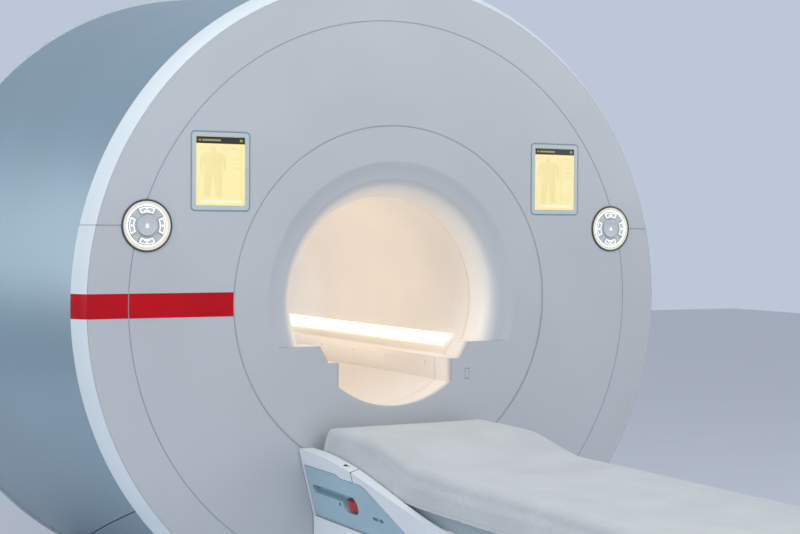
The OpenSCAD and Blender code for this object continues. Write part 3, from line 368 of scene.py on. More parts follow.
def funnelPaint(colour):  # the cover paint, with the warm light of the bore painted on its rounded mouth as cream colour and glow
    material, tree, shader = newFinish("funnelPaint")
    fade = tree.nodes.new("ShaderNodeMapRange")
    fade.interpolation_type = "SMOOTHERSTEP"
    fade.inputs["From Min"].default_value = boreLight["spillEnd"]
    fade.inputs["From Max"].default_value = boreLight["spillEdge"]
    tree.links.new(awayFrom(tree, (1, 0, 1), (0, 0, boreLight["axisHeight"])), fade.inputs["Value"])
    depth = tree.nodes.new("ShaderNodeSeparateXYZ")
    tree.links.new(objectCoords(tree), depth.inputs["Vector"])
    bend = (boreLight["spillFront"], boreLight["spillFull"])
    curved = spread(tree, depth.outputs["Y"], 0.0, 1.0, bend)
    # painted light: 1 on the mouth near the bore, where its warm light is painted in as colour and glow
    warm = mathNode(tree, "MULTIPLY", fade.outputs["Result"], curved)
    tint = blendColour(tree, cloud(tree, 2.2, 3.0), shade(colour, 0.988), shade(colour, 1.012))
    tree.links.new(mixColour(tree, warm, tint, boreLight["linerColour"]), shader.inputs["Base Color"])
    glow = mathNode(tree, "MULTIPLY", warm, boreLight["spillStrength"])
    tree.links.new(glow, shader.inputs["Emission Strength"])
    shader.inputs["Emission Color"].default_value = linear(boreLight["linerPaintedGlow"])
    tree.links.new(spread(tree, cloud(tree, 7.0, 4.0), 0.32, 0.42), shader.inputs["Roughness"])
    relief(tree, shader, cloud(tree, 380.0, 2.0), 0.05, 0.0005, 0.012)
    lacquer(shader, 0.15, 0.2)
    return material


def stripeFilm():
    material, tree, shader = newFinish("stripeFilm")
    tint = blendColour(tree, cloud(tree, 5.0, 3.0), (0.70, 0.0, 0.075), (0.73, 0.0, 0.08))
    tree.links.new(tint, shader.inputs["Base Color"])
    tree.links.new(spread(tree, cloud(tree, 30.0, 3.0), 0.3, 0.38), shader.inputs["Roughness"])
    relief(tree, shader, cloud(tree, 420.0, 2.0), 0.05, 0.0003, 0.0005)
    shader.inputs["Specular IOR Level"].default_value = 0.2
    return material


def grainPlastic(name, colour, rough, grain, depth, edge=0.002):
    material, tree, shader = newFinish(name)
    tint = blendColour(tree, cloud(tree, 4.0, 4.0), shade(colour, 0.98), shade(colour, 1.02))
    tree.links.new(tint, shader.inputs["Base Color"])
    tree.links.new(spread(tree, cloud(tree, 18.0, 3.0), rough[0], rough[1]), shader.inputs["Roughness"])
    relief(tree, shader, cells(tree, grain), depth, 0.0004, edge)
    return material


hemFold = {  # distances from the cloth's edge
    "grooveStart": (0.0120, 0.0128),
    "foldEnd": (0.0135, 0.0150),
    # painted shade along the groove where the hem's fold ends
    "grooveShade": (0.64, 0.67, 0.70),
}


def tableCloth():  # woven cotton; the hem attribute is the distance from the cloth's edge
    material, tree, shader = newFinish("cottonSheet")
    weave = tree.nodes.new("ShaderNodeTexChecker")
    weave.inputs["Scale"].default_value = 900
    tree.links.new(objectCoords(tree), weave.inputs["Vector"])
    edge = tree.nodes.new("ShaderNodeAttribute")
    edge.attribute_name = "hem"
    band = spread(tree, edge.outputs["Fac"], 1.0, 0.0, hemFold["foldEnd"])
    pastGrooveStart = spread(tree, edge.outputs["Fac"], 0.0, 1.0, hemFold["grooveStart"])
    # the groove along the hem is painted darker as shade
    groove = mathNode(tree, "MULTIPLY", band, pastGrooveStart)
    tint = blendColour(tree, cloud(tree, 6.0, 4.0), (0.72, 0.74, 0.75), (0.75, 0.77, 0.78))
    tree.links.new(mixColour(tree, groove, tint, hemFold["grooveShade"]), shader.inputs["Base Color"])
    tree.links.new(spread(tree, cloud(tree, 40.0, 3.0), 0.78, 0.9), shader.inputs["Roughness"])
    both = mathNode(tree, "MULTIPLY_ADD", weave.outputs["Fac"], 0.25, cloud(tree, 160.0, 4.0))
    relief(tree, shader, mathNode(tree, "MULTIPLY_ADD", band, 1.5, both), 0.25, 0.0006)
    shader.inputs["Sheen Weight"].default_value = 0.2
    shader.inputs["Sheen Roughness"].default_value = 0.5
    return material


def mattressVinyl():
    material, tree, shader = newFinish("mattressVinyl")
    grain = cells(tree, 520)
    tint = blendColour(tree, cloud(tree, 5.0, 3.0), (0.66, 0.70, 0.74), (0.70, 0.74, 0.78))
    tree.links.new(tint, shader.inputs["Base Color"])
    tree.links.new(spread(tree, grain, 0.4, 0.6, (0.0, 0.6)), shader.inputs["Roughness"])
    relief(tree, shader, grain, 0.2, 0.0005)
    return material


shoulderCut = {
    "fairingEdge": (0.2934, 0.2938),  # the grey fairing ends here, the white shoulder starts
    # the colour of the painted shade on the groove walls and inside the latch
    "colour": (0.20, 0.24, 0.27),
    "grooveNear": -1.204,
    "grooveFar": -1.2395,
    "grooveInside": 0.3065,
    "facing": 0.80,  # how far a face is turned along the table before it counts as a wall of the groove
    "latchX": 0.3263,
    "latchY": -1.164,
    "latchHalf": 0.0068,
    "latchRun": 0.0050,
}


def shoulderShadeMask(tree, outwards):  # 1 where shade is painted: on the walls of the shoulder's groove and inside its latch
    place = tree.nodes.new("ShaderNodeSeparateXYZ")
    tree.links.new(objectCoords(tree), place.inputs["Vector"])
    surface = tree.nodes.new("ShaderNodeNewGeometry")
    turned = tree.nodes.new("ShaderNodeSeparateXYZ")
    tree.links.new(surface.outputs["True Normal"], turned.inputs["Vector"])
    along = place.outputs["Y"]
    inGroove = mathNode(tree, "LESS_THAN", along, shoulderCut["grooveNear"])
    facing = mathNode(tree, "ABSOLUTE", turned.outputs["Y"])
    for value, least in ((along, "grooveFar"), (outwards, "grooveInside"), (facing, "facing")):
        beyond = mathNode(tree, "GREATER_THAN", value, shoulderCut[least])
        inGroove = mathNode(tree, "MULTIPLY", inGroove, beyond)
    across = mathNode(tree, "SUBTRACT", outwards, shoulderCut["latchX"])
    reach = mathNode(tree, "ABSOLUTE", mathNode(tree, "SUBTRACT", along, shoulderCut["latchY"]))
    reach = mathNode(tree, "MAXIMUM", mathNode(tree, "SUBTRACT", reach, shoulderCut["latchRun"]), 0.0)
    apart = mathNode(tree, "SQRT", mathNode(tree, "ADD", mathNode(tree, "MULTIPLY", across, across),
                                            mathNode(tree, "MULTIPLY", reach, reach)))
    inLatch = mathNode(tree, "LESS_THAN", apart, shoulderCut["latchHalf"])
    return mathNode(tree, "MAXIMUM", inGroove, inLatch)


def tablePaint():  # white cover, with the fairing beside the tabletop in grey
    material, tree, shader = newFinish("tablePaint")
    outwards = awayFrom(tree, (1, 0, 0))
    white = blendColour(tree, cloud(tree, 2.2, 3.0), (0.88, 0.905, 0.925), (0.90, 0.925, 0.945))
    gray = blendColour(tree, cloud(tree, 4.0, 4.0), (0.58, 0.65, 0.68), (0.60, 0.67, 0.70))
    cover = mixColour(tree, spread(tree, outwards, 1.0, 0.0, shoulderCut["fairingEdge"]), white, gray)
    # painted shade in the shoulder's groove and its latch
    cut = mixColour(tree, shoulderShadeMask(tree, outwards), cover, shoulderCut["colour"])
    tree.links.new(cut, shader.inputs["Base Color"])
    tree.links.new(spread(tree, cloud(tree, 7.0, 4.0), 0.32, 0.42), shader.inputs["Roughness"])
    relief(tree, shader, cloud(tree, 380.0, 2.0), 0.05, 0.0005, 0.004)
    lacquer(shader, 0.15, 0.2)
    return material


faceColour = (0.705, 0.722, 0.742)

finishes = {
    "frame_steel": paint("frameSteel", (0.25, 0.27, 0.30), (0.4, 0.55), 0.06, 0.0),
    "vessel": paint("vesselPaint", (0.80, 0.82, 0.84)),
    "coil_resin": resin("coilResin", (0.62, 0.50, 0.30)),
    "bore_cream": creamLiner(),
    "cold_head_metal": brushed("coldHeadMetal", (0.70, 0.71, 0.73)),
    "cover_frame": paint("coverFrame", (0.35, 0.40, 0.46), (0.4, 0.5), 0.04, 0.0),
    "face_white": paint("facePaint", faceColour),
    "rim_white": paint("rimPaint", (0.82, 0.86, 0.88), (0.40, 0.50), coat=0.0),
    "side_blue": metalFlake("sidePaint", (0.45, 0.561, 0.615)),
    "light_diffuser": lit("lightDiffuser", (1.0, 0.97, 0.90), (1.0, 0.93, 0.80),
                          boreLight["stripStrength"]),
    "stripe_red": stripeFilm(),
    "display_border": paint("displayBorder", (0.71, 0.755, 0.76), (0.28, 0.36)),
    "display_glass": lit("screenYellow", (0.93, 0.86, 0.62), (1.0, 0.92, 0.66), 0.20),
    "panel_gray": grainPlastic("panelGray", (0.745, 0.75, 0.76), (0.35, 0.45), 900.0, 0.08),
    "key_gray": grainPlastic("keyGray", (0.74, 0.76, 0.775), (0.34, 0.44), 900.0, 0.08, 0.0012),
    "table_white": tablePaint(),
    "column_steel": brushed("columnSteel", (0.72, 0.73, 0.75)),
    "grip_blue_gray": grainPlastic("gripBlueGray", (0.63, 0.745, 0.79), (0.42, 0.52), 800.0, 0.1, 0.003),
    "release_red": paint("releaseRed", (0.66, 0.015, 0.07), (0.25, 0.32), 0.03, 0.4, edge=0.003),
    "tabletop_gray": grainPlastic("tabletopGray", (0.48, 0.57, 0.62), (0.45, 0.55), 700.0, 0.12, 0.003),
    "mattress_cover": mattressVinyl(),
    "sheet_cloth": tableCloth(),
}

for node in nodes.values():
    for place in node.material_slots:
        if place.material is not None and place.material.name.split(".")[0] in finishes:
            place.material = finishes[place.material.name.split(".")[0]]
for place in nodes["funnel_cover"].material_slots:
    place.material = funnelPaint(faceColour)
print("finishes on the covers, bore and table")


# small helpers for the new pieces

def keepPiece(name, bm, finish, body, rounded=True):
    bmesh.ops.recalc_face_normals(bm, faces=bm.faces)
    mesh = bpy.data.meshes.new(name)
    bm.to_mesh(mesh)
    bm.free()
    mesh.materials.append(finish)
    for face in mesh.polygons:
        face.use_smooth = rounded
    piece = bpy.data.objects.new(name, mesh)
    scene.collection.objects.link(piece)
    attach(piece, body)
    return piece


def addPlate(bm, points, y, thickness):  # outline of x and z, raised towards -Y
    corners = [bm.verts.new((x, y, z)) for x, z in points]
    face = bm.faces.new(corners)
    raised = bmesh.ops.extrude_face_region(bm, geom=[face])
    lifted = [v for v in raised["geom"] if isinstance(v, bmesh.types.BMVert)]
    bmesh.ops.translate(bm, vec=(0, -thickness, 0), verts=lifted)


def rectangle(cx, cz, width, height):
    return [(cx - width / 2, cz - height / 2), (cx + width / 2, cz - height / 2),
            (cx + width / 2, cz + height / 2), (cx - width / 2, cz + height / 2)]


def roundedRectangle(cx, cz, width, height, radius, steps=6):
    points = []
    for turn, (sx, sz) in enumerate(((1, 1), (-1, 1), (-1, -1), (1, -1))):
        for i in range(steps + 1):
            angle = math.radians(90 * turn + 90 * i / steps)
            points.append((cx + sx * (width / 2 - radius) + radius * math.cos(angle),
                           cz + sz * (height / 2 - radius) + radius * math.sin(angle)))
    return points


def disc(cx, cz, radius, steps=28):
    angles = [2 * math.pi * i / steps for i in range(steps)]
    return [(cx + radius * math.cos(angle), cz + radius * math.sin(angle)) for angle in angles]


def ringSector(cx, cz, inner, outer, middle, half, steps=10):
    points = []
    for i in range(steps + 1):
        angle = math.radians(middle - half + 2 * half * i / steps)
        points.append((cx + outer * math.cos(angle), cz + outer * math.sin(angle)))
    for i in range(steps + 1):
        angle = math.radians(middle + half - 2 * half * i / steps)
        points.append((cx + inner * math.cos(angle), cz + inner * math.sin(angle)))
    return points


def spunProfile(name, profile, centre, finish, body, steps=96):  # profile of radius and y
    bm = bmesh.new()
    line = [bm.verts.new((centre[0] + r, y, centre[1])) for r, y in profile]
    edges = [bm.edges.new((line[i], line[i + 1])) for i in range(len(line) - 1)]
    bmesh.ops.spin(bm, geom=line + edges, cent=(centre[0], 0, centre[1]), axis=(0, 1, 0),
                   angle=2 * math.pi, steps=steps, use_merge=True)
    bmesh.ops.remove_doubles(bm, verts=bm.verts, dist=1e-6)
    keepPiece(name, bm, finish, body)


def outlineFrame(bm, outer, inner, y, thickness):  # a thin raised line between two outlines
    loops = []
    for points, level in ((outer, y), (outer, y - thickness), (inner, y - thickness), (inner, y)):
        loops.append([bm.verts.new((x, level, z)) for x, z in points])
    count = len(outer)
    for low, high in zip(loops, loops[1:]):
        for i in range(count):
            j = (i + 1) % count
            bm.faces.new((low[i], low[j], high[j], high[i]))


# control panels

panel = {
    "x": 0.870,
    "z": 1.316,
    "faceY": -0.876,
    "keyY": -0.878,
    "knobY": -0.880,
    "edgeInner": 0.0757,
    "edgeOuter": 0.0812,
    "edgeY": -0.878,
    "glowSplit": 0.0655,  # the cream ring is outside this radius, the bright ring inside
    "lineInner": 0.0410,
    "lineOuter": 0.0577,
    "lineHalfAngle": 26.5,
    "lineWidth": 0.0026,
    "lineRaised": 0.0003,
    "arrowHalf": 0.0045,
    "arrowTall": 0.0055,
    "barWidth": 0.018,
    "barTall": 0.0022,
    "barAway": 0.0035,
    "dotRadius": 0.0034,
    "knobRadius": 0.032,
    "knobArrowHalf": 0.0065,
    "knobArrowLow": 0.0055,
    "knobArrowTall": 0.0075,
}

darkRing = grainPlastic("panelEdge", (0.22, 0.25, 0.28), (0.3, 0.4), 900.0, 0.06, 0.0)
whiteLight = lit("panelWhiteLight", (0.97, 0.98, 0.97), (1.0, 1.0, 0.96), 0.55)


def panelGlow(side):
    material, tree, shader = newFinish("panelGlowLeft" if side < 0 else "panelGlowRight")
    radius = awayFrom(tree, (1, 0, 1), (side * panel["x"], 0, panel["z"]))
    split = panel["glowSplit"]
    edges = (split - 0.0005, split + 0.0005)
    tint = blendColour(tree, radius, (0.98, 0.99, 0.97), (0.88, 0.86, 0.78), edges)
    tree.links.new(tint, shader.inputs["Base Color"])
    tree.links.new(tint, shader.inputs["Emission Color"])
    glow = spread(tree, radius, 0.6, 0.12, (split - 0.001, split + 0.001))
    tree.links.new(glow, shader.inputs["Emission Strength"])
    tree.links.new(spread(tree, cloud(tree, 60.0, 2.0), 0.3, 0.4), shader.inputs["Roughness"])
    relief(tree, shader, cloud(tree, 250.0, 2.0), 0.04, 0.0004)
    return material


def panelMarks(side):
    word = "left" if side < 0 else "right"
    cx, cz = side * panel["x"], panel["z"]
    edge = panel["edgeY"]
    near, far = panel["edgeInner"], panel["edgeOuter"]
    ring = [(near, edge + 0.002), (near, edge - 0.0004), (near + 0.0008, edge - 0.0010),
            (far - 0.0010, edge - 0.0010), (far, edge - 0.0002), (far, edge + 0.004)]
    spunProfile(word + "PanelEdge", ring, (cx, cz), darkRing, "gantry")
    knob = panel["knobRadius"]
    top = panel["knobY"]
    crown = [(knob - 0.0002, top + 0.0015), (knob - 0.0006, top - 0.0006), (knob - 0.0022, top - 0.0016),
             (knob - 0.0045, top - 0.0012), (knob - 0.008, top - 0.0006), (knob * 0.5, top - 0.0002),
             (0.0, top - 0.0001)]
    spunProfile(word + "KnobCrown", crown, (cx, cz), finishes["key_gray"], word + "_knob",
                steps=72)
    bm = bmesh.new()
    reach, low = panel["knobArrowHalf"], cz - panel["knobArrowLow"]
    arrowHead = [(cx - reach, low), (cx + reach, low), (cx, cz + panel["knobArrowTall"])]
    addPlate(bm, arrowHead, top - 0.0002, 0.0006)
    keepPiece(word + "KnobLight", bm, whiteLight, word + "_knob", False)
    face, raised = panel["keyY"], panel["lineRaised"]
    width, inner, outer = panel["lineWidth"], panel["lineInner"], panel["lineOuter"]
    half, arrow, tall = panel["lineHalfAngle"], panel["arrowHalf"], panel["arrowTall"]
    barWide, barTall, barAway = panel["barWidth"], panel["barTall"], panel["barAway"]
    middle = (inner + outer) / 2
    away = 180 if side < 0 else 0
    for keyName, angle in (("top", 90), ("outer", away), ("bottom", 270), ("inner", 180 - away)):
        bm = bmesh.new()
        within = half - math.degrees(width / inner)
        outlineFrame(bm, ringSector(cx, cz, inner, outer, angle, half),
                     ringSector(cx, cz, inner + width, outer - width, angle, within), face, raised)
        mx = cx + middle * math.cos(math.radians(angle))
        mz = cz + middle * math.sin(math.radians(angle))
        if angle == 90:  # table up
            addPlate(bm, rectangle(mx, mz - barAway, barWide, barTall), face, raised)
            addPlate(bm, [(mx - arrow, mz), (mx + arrow, mz), (mx, mz + tall)], face, raised)
        elif angle == 270:  # table down
            addPlate(bm, rectangle(mx, mz + barAway, barWide, barTall), face, raised)
            addPlate(bm, [(mx - arrow, mz), (mx, mz - tall), (mx + arrow, mz)], face, raised)
        else:
            addPlate(bm, disc(mx, mz, panel["dotRadius"], 20), face, raised)
        keepPiece(word + "KeyLines" + keyName.capitalize(), bm, whiteLight, word + "_key_" + keyName,
                  False)
    for place in nodes[word + "_panel_light"].material_slots:
        place.material = panelGlow(side)


for side in (-1, 1):
    panelMarks(side)
print("control panels dressed")


# displays

display = {
    "x": 0.6285,
    "z": 1.488,
    "width": 0.199,
    "height": 0.250,
    "border": 0.017,
    "corner": 0.014,
    "faceY": -0.876,
    "glassY": -0.8755,
    "outlineWidth": 0.0034,
    "outlineInset": 0.0006,
    "outlineRaised": 0.0004,
    "glassInset": 0.002,
    "printRaised": 0.0002,
    "headerHeight": 0.021,
    "labels": (  # start, width and height
        (-0.0745, 0.009, 0.006),
        (-0.062, 0.062, 0.006),
        (0.064, 0.010, 0.008),
    ),
    "labelRaised": 0.0001,
    "barUp": 0.012,
    "barShare": 0.86,
    "barHeight": 0.010,
    "figureLeft": 0.026,
    "figureDown": 0.004,
    "figureScale": 0.098,
    "headUp": 0.068,
    "headRadius": 0.0105,
    "captions": ((-0.074, 0.014), (0.004, 0.010), (0.036, 0.020)),  # start, width
    "captionUp": 0.072,
    "textHeight": 0.0035,
    "rowRight": 0.056,
    "rowUp": 0.040,
    "rowStep": 0.016,
    "rowWidth": 0.026,
}

screenHeader = lit("screenHeader", (0.13, 0.14, 0.10), (0.20, 0.20, 0.12), 0.1)
screenPale = lit("screenPale", (0.93, 0.89, 0.74), (1.0, 0.96, 0.80), 0.22)
screenLabel = lit("screenLabel", (0.58, 0.57, 0.40), (0.60, 0.58, 0.38), 0.15)
screenShade = lit("screenShade", (0.90, 0.83, 0.59), (0.97, 0.90, 0.62), 0.19)
displayOutline = paint("displayOutline", (0.47, 0.57, 0.60), (0.3, 0.4))


def figureOutline(cx, cz, scale):  # plain generic standing figure, front view
    body = [(-0.30, 0.62), (-0.42, 0.50), (-0.46, 0.10), (-0.38, 0.08), (-0.30, 0.40), (-0.28, 0.02),
            (-0.30, -0.80), (-0.12, -0.80), (-0.03, -0.06), (0.03, -0.06), (0.12, -0.80), (0.30, -0.80),
            (0.28, 0.02), (0.30, 0.40), (0.38, 0.08), (0.46, 0.10), (0.42, 0.50), (0.30, 0.62)]
    return [(cx + x * scale, cz + z * scale) for x, z in body]


def dressDisplay(side):
    word = "left" if side < 0 else "right"
    cx, cz = side * display["x"], display["z"]
    bm = bmesh.new()
    width = display["width"] - display["outlineInset"]
    height = display["height"] - display["outlineInset"]
    corner, line = display["corner"], display["outlineWidth"]
    outlineFrame(bm, roundedRectangle(cx, cz, width, height, corner),
                 roundedRectangle(cx, cz, width - 2 * line, height - 2 * line, corner - line),
                 display["faceY"], display["outlineRaised"])
    keepPiece(word + "DisplayOutline", bm, displayOutline, "gantry", False)
    glassWidth = display["width"] - 2 * display["border"] - display["glassInset"]
    glassHeight = display["height"] - 2 * display["border"] - display["glassInset"]
    face, raised = display["glassY"], display["printRaised"]
    tall = display["headerHeight"]
    headerZ = cz + glassHeight / 2 - tall / 2
    bm = bmesh.new()
    addPlate(bm, rectangle(cx, headerZ, glassWidth, tall), face, raised)
    keepPiece(word + "ScreenHeader", bm, screenHeader, "gantry", False)
    bm = bmesh.new()
    for start, width, tall in display["labels"]:
        label = rectangle(cx + start + width / 2, headerZ, width, tall)
        addPlate(bm, label, face - raised, display["labelRaised"])
    keepPiece(word + "ScreenLabels", bm, screenLabel, "gantry", False)
    bm = bmesh.new()
    barZ = cz - glassHeight / 2 + display["barUp"]
    bar = rectangle(cx, barZ, glassWidth * display["barShare"], display["barHeight"])
    addPlate(bm, bar, face, raised)
    keepPiece(word + "ScreenBar", bm, screenPale, "gantry", False)
    bm = bmesh.new()
    figureX = cx - display["figureLeft"]
    figure = figureOutline(figureX, cz - display["figureDown"], display["figureScale"])
    addPlate(bm, figure, face, raised)
    addPlate(bm, disc(figureX, cz + display["headUp"], display["headRadius"]), face, raised)
    tall = display["textHeight"]
    captionZ = cz + display["captionUp"]
    for start, width in display["captions"]:
        addPlate(bm, rectangle(cx + start + width / 2, captionZ, width, tall), face, raised)
    for row in range(3):
        rowZ = cz + display["rowUp"] - display["rowStep"] * row
        addPlate(bm, rectangle(cx + display["rowRight"], rowZ, display["rowWidth"], tall), face, raised)
    keepPiece(word + "ScreenFigure", bm, screenShade, "gantry", False)


for side in (-1, 1):
    dressDisplay(side)
print("displays dressed")


# marks and small fittings on the covers

wall = {  # slanted side of the table, right side; the left one is its mirror image
    "topX": 0.345,
    "topZ": 0.550,
    "lowX": 0.303,
    "lowZ": 0.380,
    "frontY": -0.879,
    "lockBack": 0.231,
    "lockDown": 0.099,
    "lockRadius": 0.0035,
    "lockRing": 0.0022,
    "lockRaised": 0.0006,
    "markBack": 0.486,
    "markDown": 0.108,
    "markRaised": 0.0003,
    "markShapes": (  # pairs of down and back: a bar, an arrow head and its stem
        ((-0.0045, -0.036), (-0.0045, -0.004), (0.0045, -0.004), (0.0045, -0.036)),
        ((-0.008, 0.014), (0, 0.034), (0.008, 0.014)),
        ((-0.0025, 0.004), (-0.0025, 0.014), (0.0025, 0.014), (0.0025, 0.004)),
    ),
}

markInk = paint("markInk", (0.30, 0.37, 0.42), (0.4, 0.5))


def onWall(side, down, back, out):  # metres down the wall, along the table and off the wall
    turn = math.pi / 2 + math.atan((wall["topX"] - wall["lowX"]) / (wall["topZ"] - wall["lowZ"]))
    x = wall["topX"] + down * math.cos(turn) + out * math.sin(turn)
    z = wall["topZ"] - down * math.sin(turn) + out * math.cos(turn)
    return Vector((side * x, wall["frontY"] - back, z))


def wallPlate(bm, side, points, thickness):  # points are pairs of down and back
    top = [bm.verts.new(onWall(side, down, back, thickness)) for down, back in points]
    low = [bm.verts.new(onWall(side, down, back, 0)) for down, back in points]
    bm.faces.new(top)
    for i in range(len(points)):
        j = (i + 1) % len(points)
        bm.faces.new((top[i], top[j], low[j], low[i]))


def wallRing(bm, side, down, back, inner, outer, thickness, steps=24):
    for i in range(steps):
        a, b = 2 * math.pi * i / steps, 2 * math.pi * (i + 1) / steps
        corners = [(down + r * math.cos(t), back + r * math.sin(t))
                   for r, t in ((inner, a), (outer, a), (outer, b), (inner, b))]
        top = [bm.verts.new(onWall(side, d, away, thickness)) for d, away in corners]
        low = [bm.verts.new(onWall(side, d, away, 0)) for d, away in corners]
        bm.faces.new(top)
        bm.faces.new((top[1], top[2], low[2], low[1]))
        bm.faces.new((top[3], top[0], low[0], low[3]))
    bmesh.ops.remove_doubles(bm, verts=bm.verts, dist=1e-6)


def dressWall(side):
    word = "left" if side < 0 else "right"
    bm = bmesh.new()
    hole = wall["lockRadius"]
    rim = hole + wall["lockRing"]
    wallRing(bm, side, wall["lockDown"], wall["lockBack"], hole, rim, wall["lockRaised"])
    keepPiece(word + "LockRing", bm, darkRing, "table_deck", False)
    bm = bmesh.new()
    down, back = wall["markDown"], wall["markBack"]
    for shape in wall["markShapes"]:
        wallPlate(bm, side, [(down + d, back + away) for d, away in shape], wall["markRaised"])
    keepPiece(word + "GripMark", bm, markInk, "table_deck", False)


for side in (-1, 1):
    dressWall(side)


seal = {  # grey rubber in the seams of the front covers
    "face": -0.8740,
    "thickness": 0.0010,
    "halfWidth": 0.00145,
    "axisHeight": 1.070,
    "outerRadius": 0.928,
    "innerRadius": 0.583,
    "panelAngle": 15.8,
    "panelHalf": 5.0,
    "seamHeight": 1.316,
    "seamStart": 0.9520,
    "seamEnd": 1.0285,
}

sealRubber = grainPlastic("sealRubber", (0.61, 0.65, 0.69), (0.5, 0.6), 900.0, 0.1, 0.0)


def arcPlate(bm, radius, start, end, steps):
    for i in range(steps):
        corners = []
        for turn, r in ((i, -1), (i, 1), (i + 1, 1), (i + 1, -1)):
            angle = math.radians(start + (end - start) * turn / steps)
            reach = radius + r * seal["halfWidth"]
            corners.append((reach * math.cos(angle), seal["axisHeight"] + reach * math.sin(angle)))
        addPlate(bm, corners, seal["face"] + seal["thickness"], seal["thickness"])
    bmesh.ops.remove_doubles(bm, verts=bm.verts, dist=1e-6)


def makeSeals():
    bm = bmesh.new()
    away = seal["panelAngle"] + seal["panelHalf"]
    near = seal["panelAngle"] - seal["panelHalf"]
    arcPlate(bm, seal["outerRadius"], away, 180 - away, 96)
    arcPlate(bm, seal["outerRadius"], 180 - near, 360 + near, 132)
    arcPlate(bm, seal["innerRadius"], 0, 360, 144)
    middle = (seal["seamStart"] + seal["seamEnd"]) / 2
    length = seal["seamEnd"] - seal["seamStart"]
    for side in (-1, 1):
        strip = rectangle(side * middle, seal["seamHeight"], length, 2 * seal["halfWidth"])
        addPlate(bm, strip, seal["face"] + seal["thickness"], seal["thickness"])
    keepPiece("coverSeals", bm, sealRubber, "gantry", False)


makeSeals()


plateMark = {  # a small printed frame on the front plate, beside the bore
    "face": -0.875,
    "raised": 0.0003,
    "x": 0.276,
    "z": 0.8188,
    "width": 0.017,
    "height": 0.033,
    "ends": (0.836, 0.8015),
    "endLine": 0.0016,
    "sides": (0.268, 0.284),
    "sideLine": 0.0008,
}


def makePlateMark():
    bm = bmesh.new()
    lines = [rectangle(plateMark["x"], z, plateMark["width"], plateMark["endLine"])
             for z in plateMark["ends"]]
    lines += [rectangle(x, plateMark["z"], plateMark["sideLine"], plateMark["height"])
              for x in plateMark["sides"]]
    for line in lines:
        addPlate(bm, line, plateMark["face"], plateMark["raised"])
    keepPiece("plateMark", bm, markInk, "gantry", False)


makePlateMark()
print("marks on the covers")


# mattress and sheet

mattress = {
    "half": 0.2935,
    "front": -0.9235,
    "back": -3.3045,
    "low": 0.5698,
    "top": 0.6188,
    "rise": 0.050,
    "riseEnd": -1.231,
    "rampEnd": -1.571,
    "edge": 0.020,
    "lowEdge": 0.007,
    "slant": 0.030,  # the front end leans back towards its top
    "slantFade": 0.20,
    "uneven": 0.0008,
    "cuts": ((1, 130), (0, 32), (2, 9)),  # axis and number of cuts
}

linen = {
    "gap": 0.0022,
    "cell": 0.0095,
    "hemRaised": 0.544,
    "hem": 0.523,
    "rimOut": 0.3022,  # half width where the cloth hangs past the tabletop's rim
    "rimBelow": 0.600,
    "rimRun": 0.027,
    "shoulderBelow": 0.605,
    "shoulderLimit": 0.3053,
    "frontLimit": -0.9152,
    "slack": 0.016,
    "frames": 26,
    "furthest": 0.012,
    "seed": 7.3,
    "lump": 0.0016,
    "ridge": 0.0036,
    "crease": 0.0016,
    "wave": 0.0016,
    "waveRun": 0.03,
}

drapeSettings = {
    "quality": 7,
    "mass": 0.12,
    "air_damping": 2.0,
    "tension_stiffness": 18,
    "compression_stiffness": 9,
    "shear_stiffness": 6,
    "bending_stiffness": 0.35,
    "shrink_min": -linen["slack"],
    "shrink_max": -linen["slack"],
}


def smooth(t):
    t = max(0.0, min(1.0, t))
    return t * t * (3 - 2 * t)


def raised(y):  # 1 on the raised end of the mattress, 0 behind the ramp
    return 1 - smooth((mattress["riseEnd"] - y) / (mattress["riseEnd"] - mattress["rampEnd"]))


def bedHeight(y):
    return mattress["top"] + mattress["rise"] * raised(y)


def leanBack(y, z):
    along = smooth((y - mattress["front"] + mattress["slantFade"]) / mattress["slantFade"])
    up = max(0.0, min(1.0, (z - mattress["low"]) / (bedHeight(y) - mattress["low"])))
    return -mattress["slant"] * along * up


def makeMattress():
    bm = bmesh.new()
    bmesh.ops.create_cube(bm, size=1.0)
    for axis, cuts in mattress["cuts"]:
        across = [e for e in bm.edges if abs(e.verts[0].co[axis] - e.verts[1].co[axis]) > 0.5]
        bmesh.ops.subdivide_edges(bm, edges=across, cuts=cuts, use_grid_fill=True)
    middleY = (mattress["front"] + mattress["back"]) / 2
    halfY = (mattress["front"] - mattress["back"]) / 2
    for vert in bm.verts:
        y = middleY + vert.co.y * 2 * halfY
        x = vert.co.x * 2 * mattress["half"]
        top = bedHeight(y)
        z = mattress["low"] + (vert.co.z + 0.5) * (top - mattress["low"])
        edge = mattress["edge"] if vert.co.z > 0 else mattress["lowEdge"]
        dz = max(0.0, z - (top - edge)) if vert.co.z > 0 else max(0.0, mattress["low"] + edge - z)
        dx = max(0.0, abs(x) - (mattress["half"] - edge))
        dy = max(0.0, abs(y - middleY) - (halfY - edge))
        length = math.sqrt(dx * dx + dy * dy + dz * dz)
        if length > 1e-9:
            keep = max(dx, dy, dz) / length
            x -= math.copysign(dx * (1 - keep), x)
            y -= math.copysign(dy * (1 - keep), y - middleY)
            z += (-dz if vert.co.z > 0 else dz) * (1 - keep)
        if vert.co.z > -0.3:  # the foam is a little uneven
            z += mattress["uneven"] * noise.noise(Vector((x * 5, y * 3, 2.0)))
        vert.co = (x, y + leanBack(y, z), z)
    piece = keepPiece("foamMattress", bm, finishes["mattress_cover"], "tabletop")
    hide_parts("mattress")
    return piece


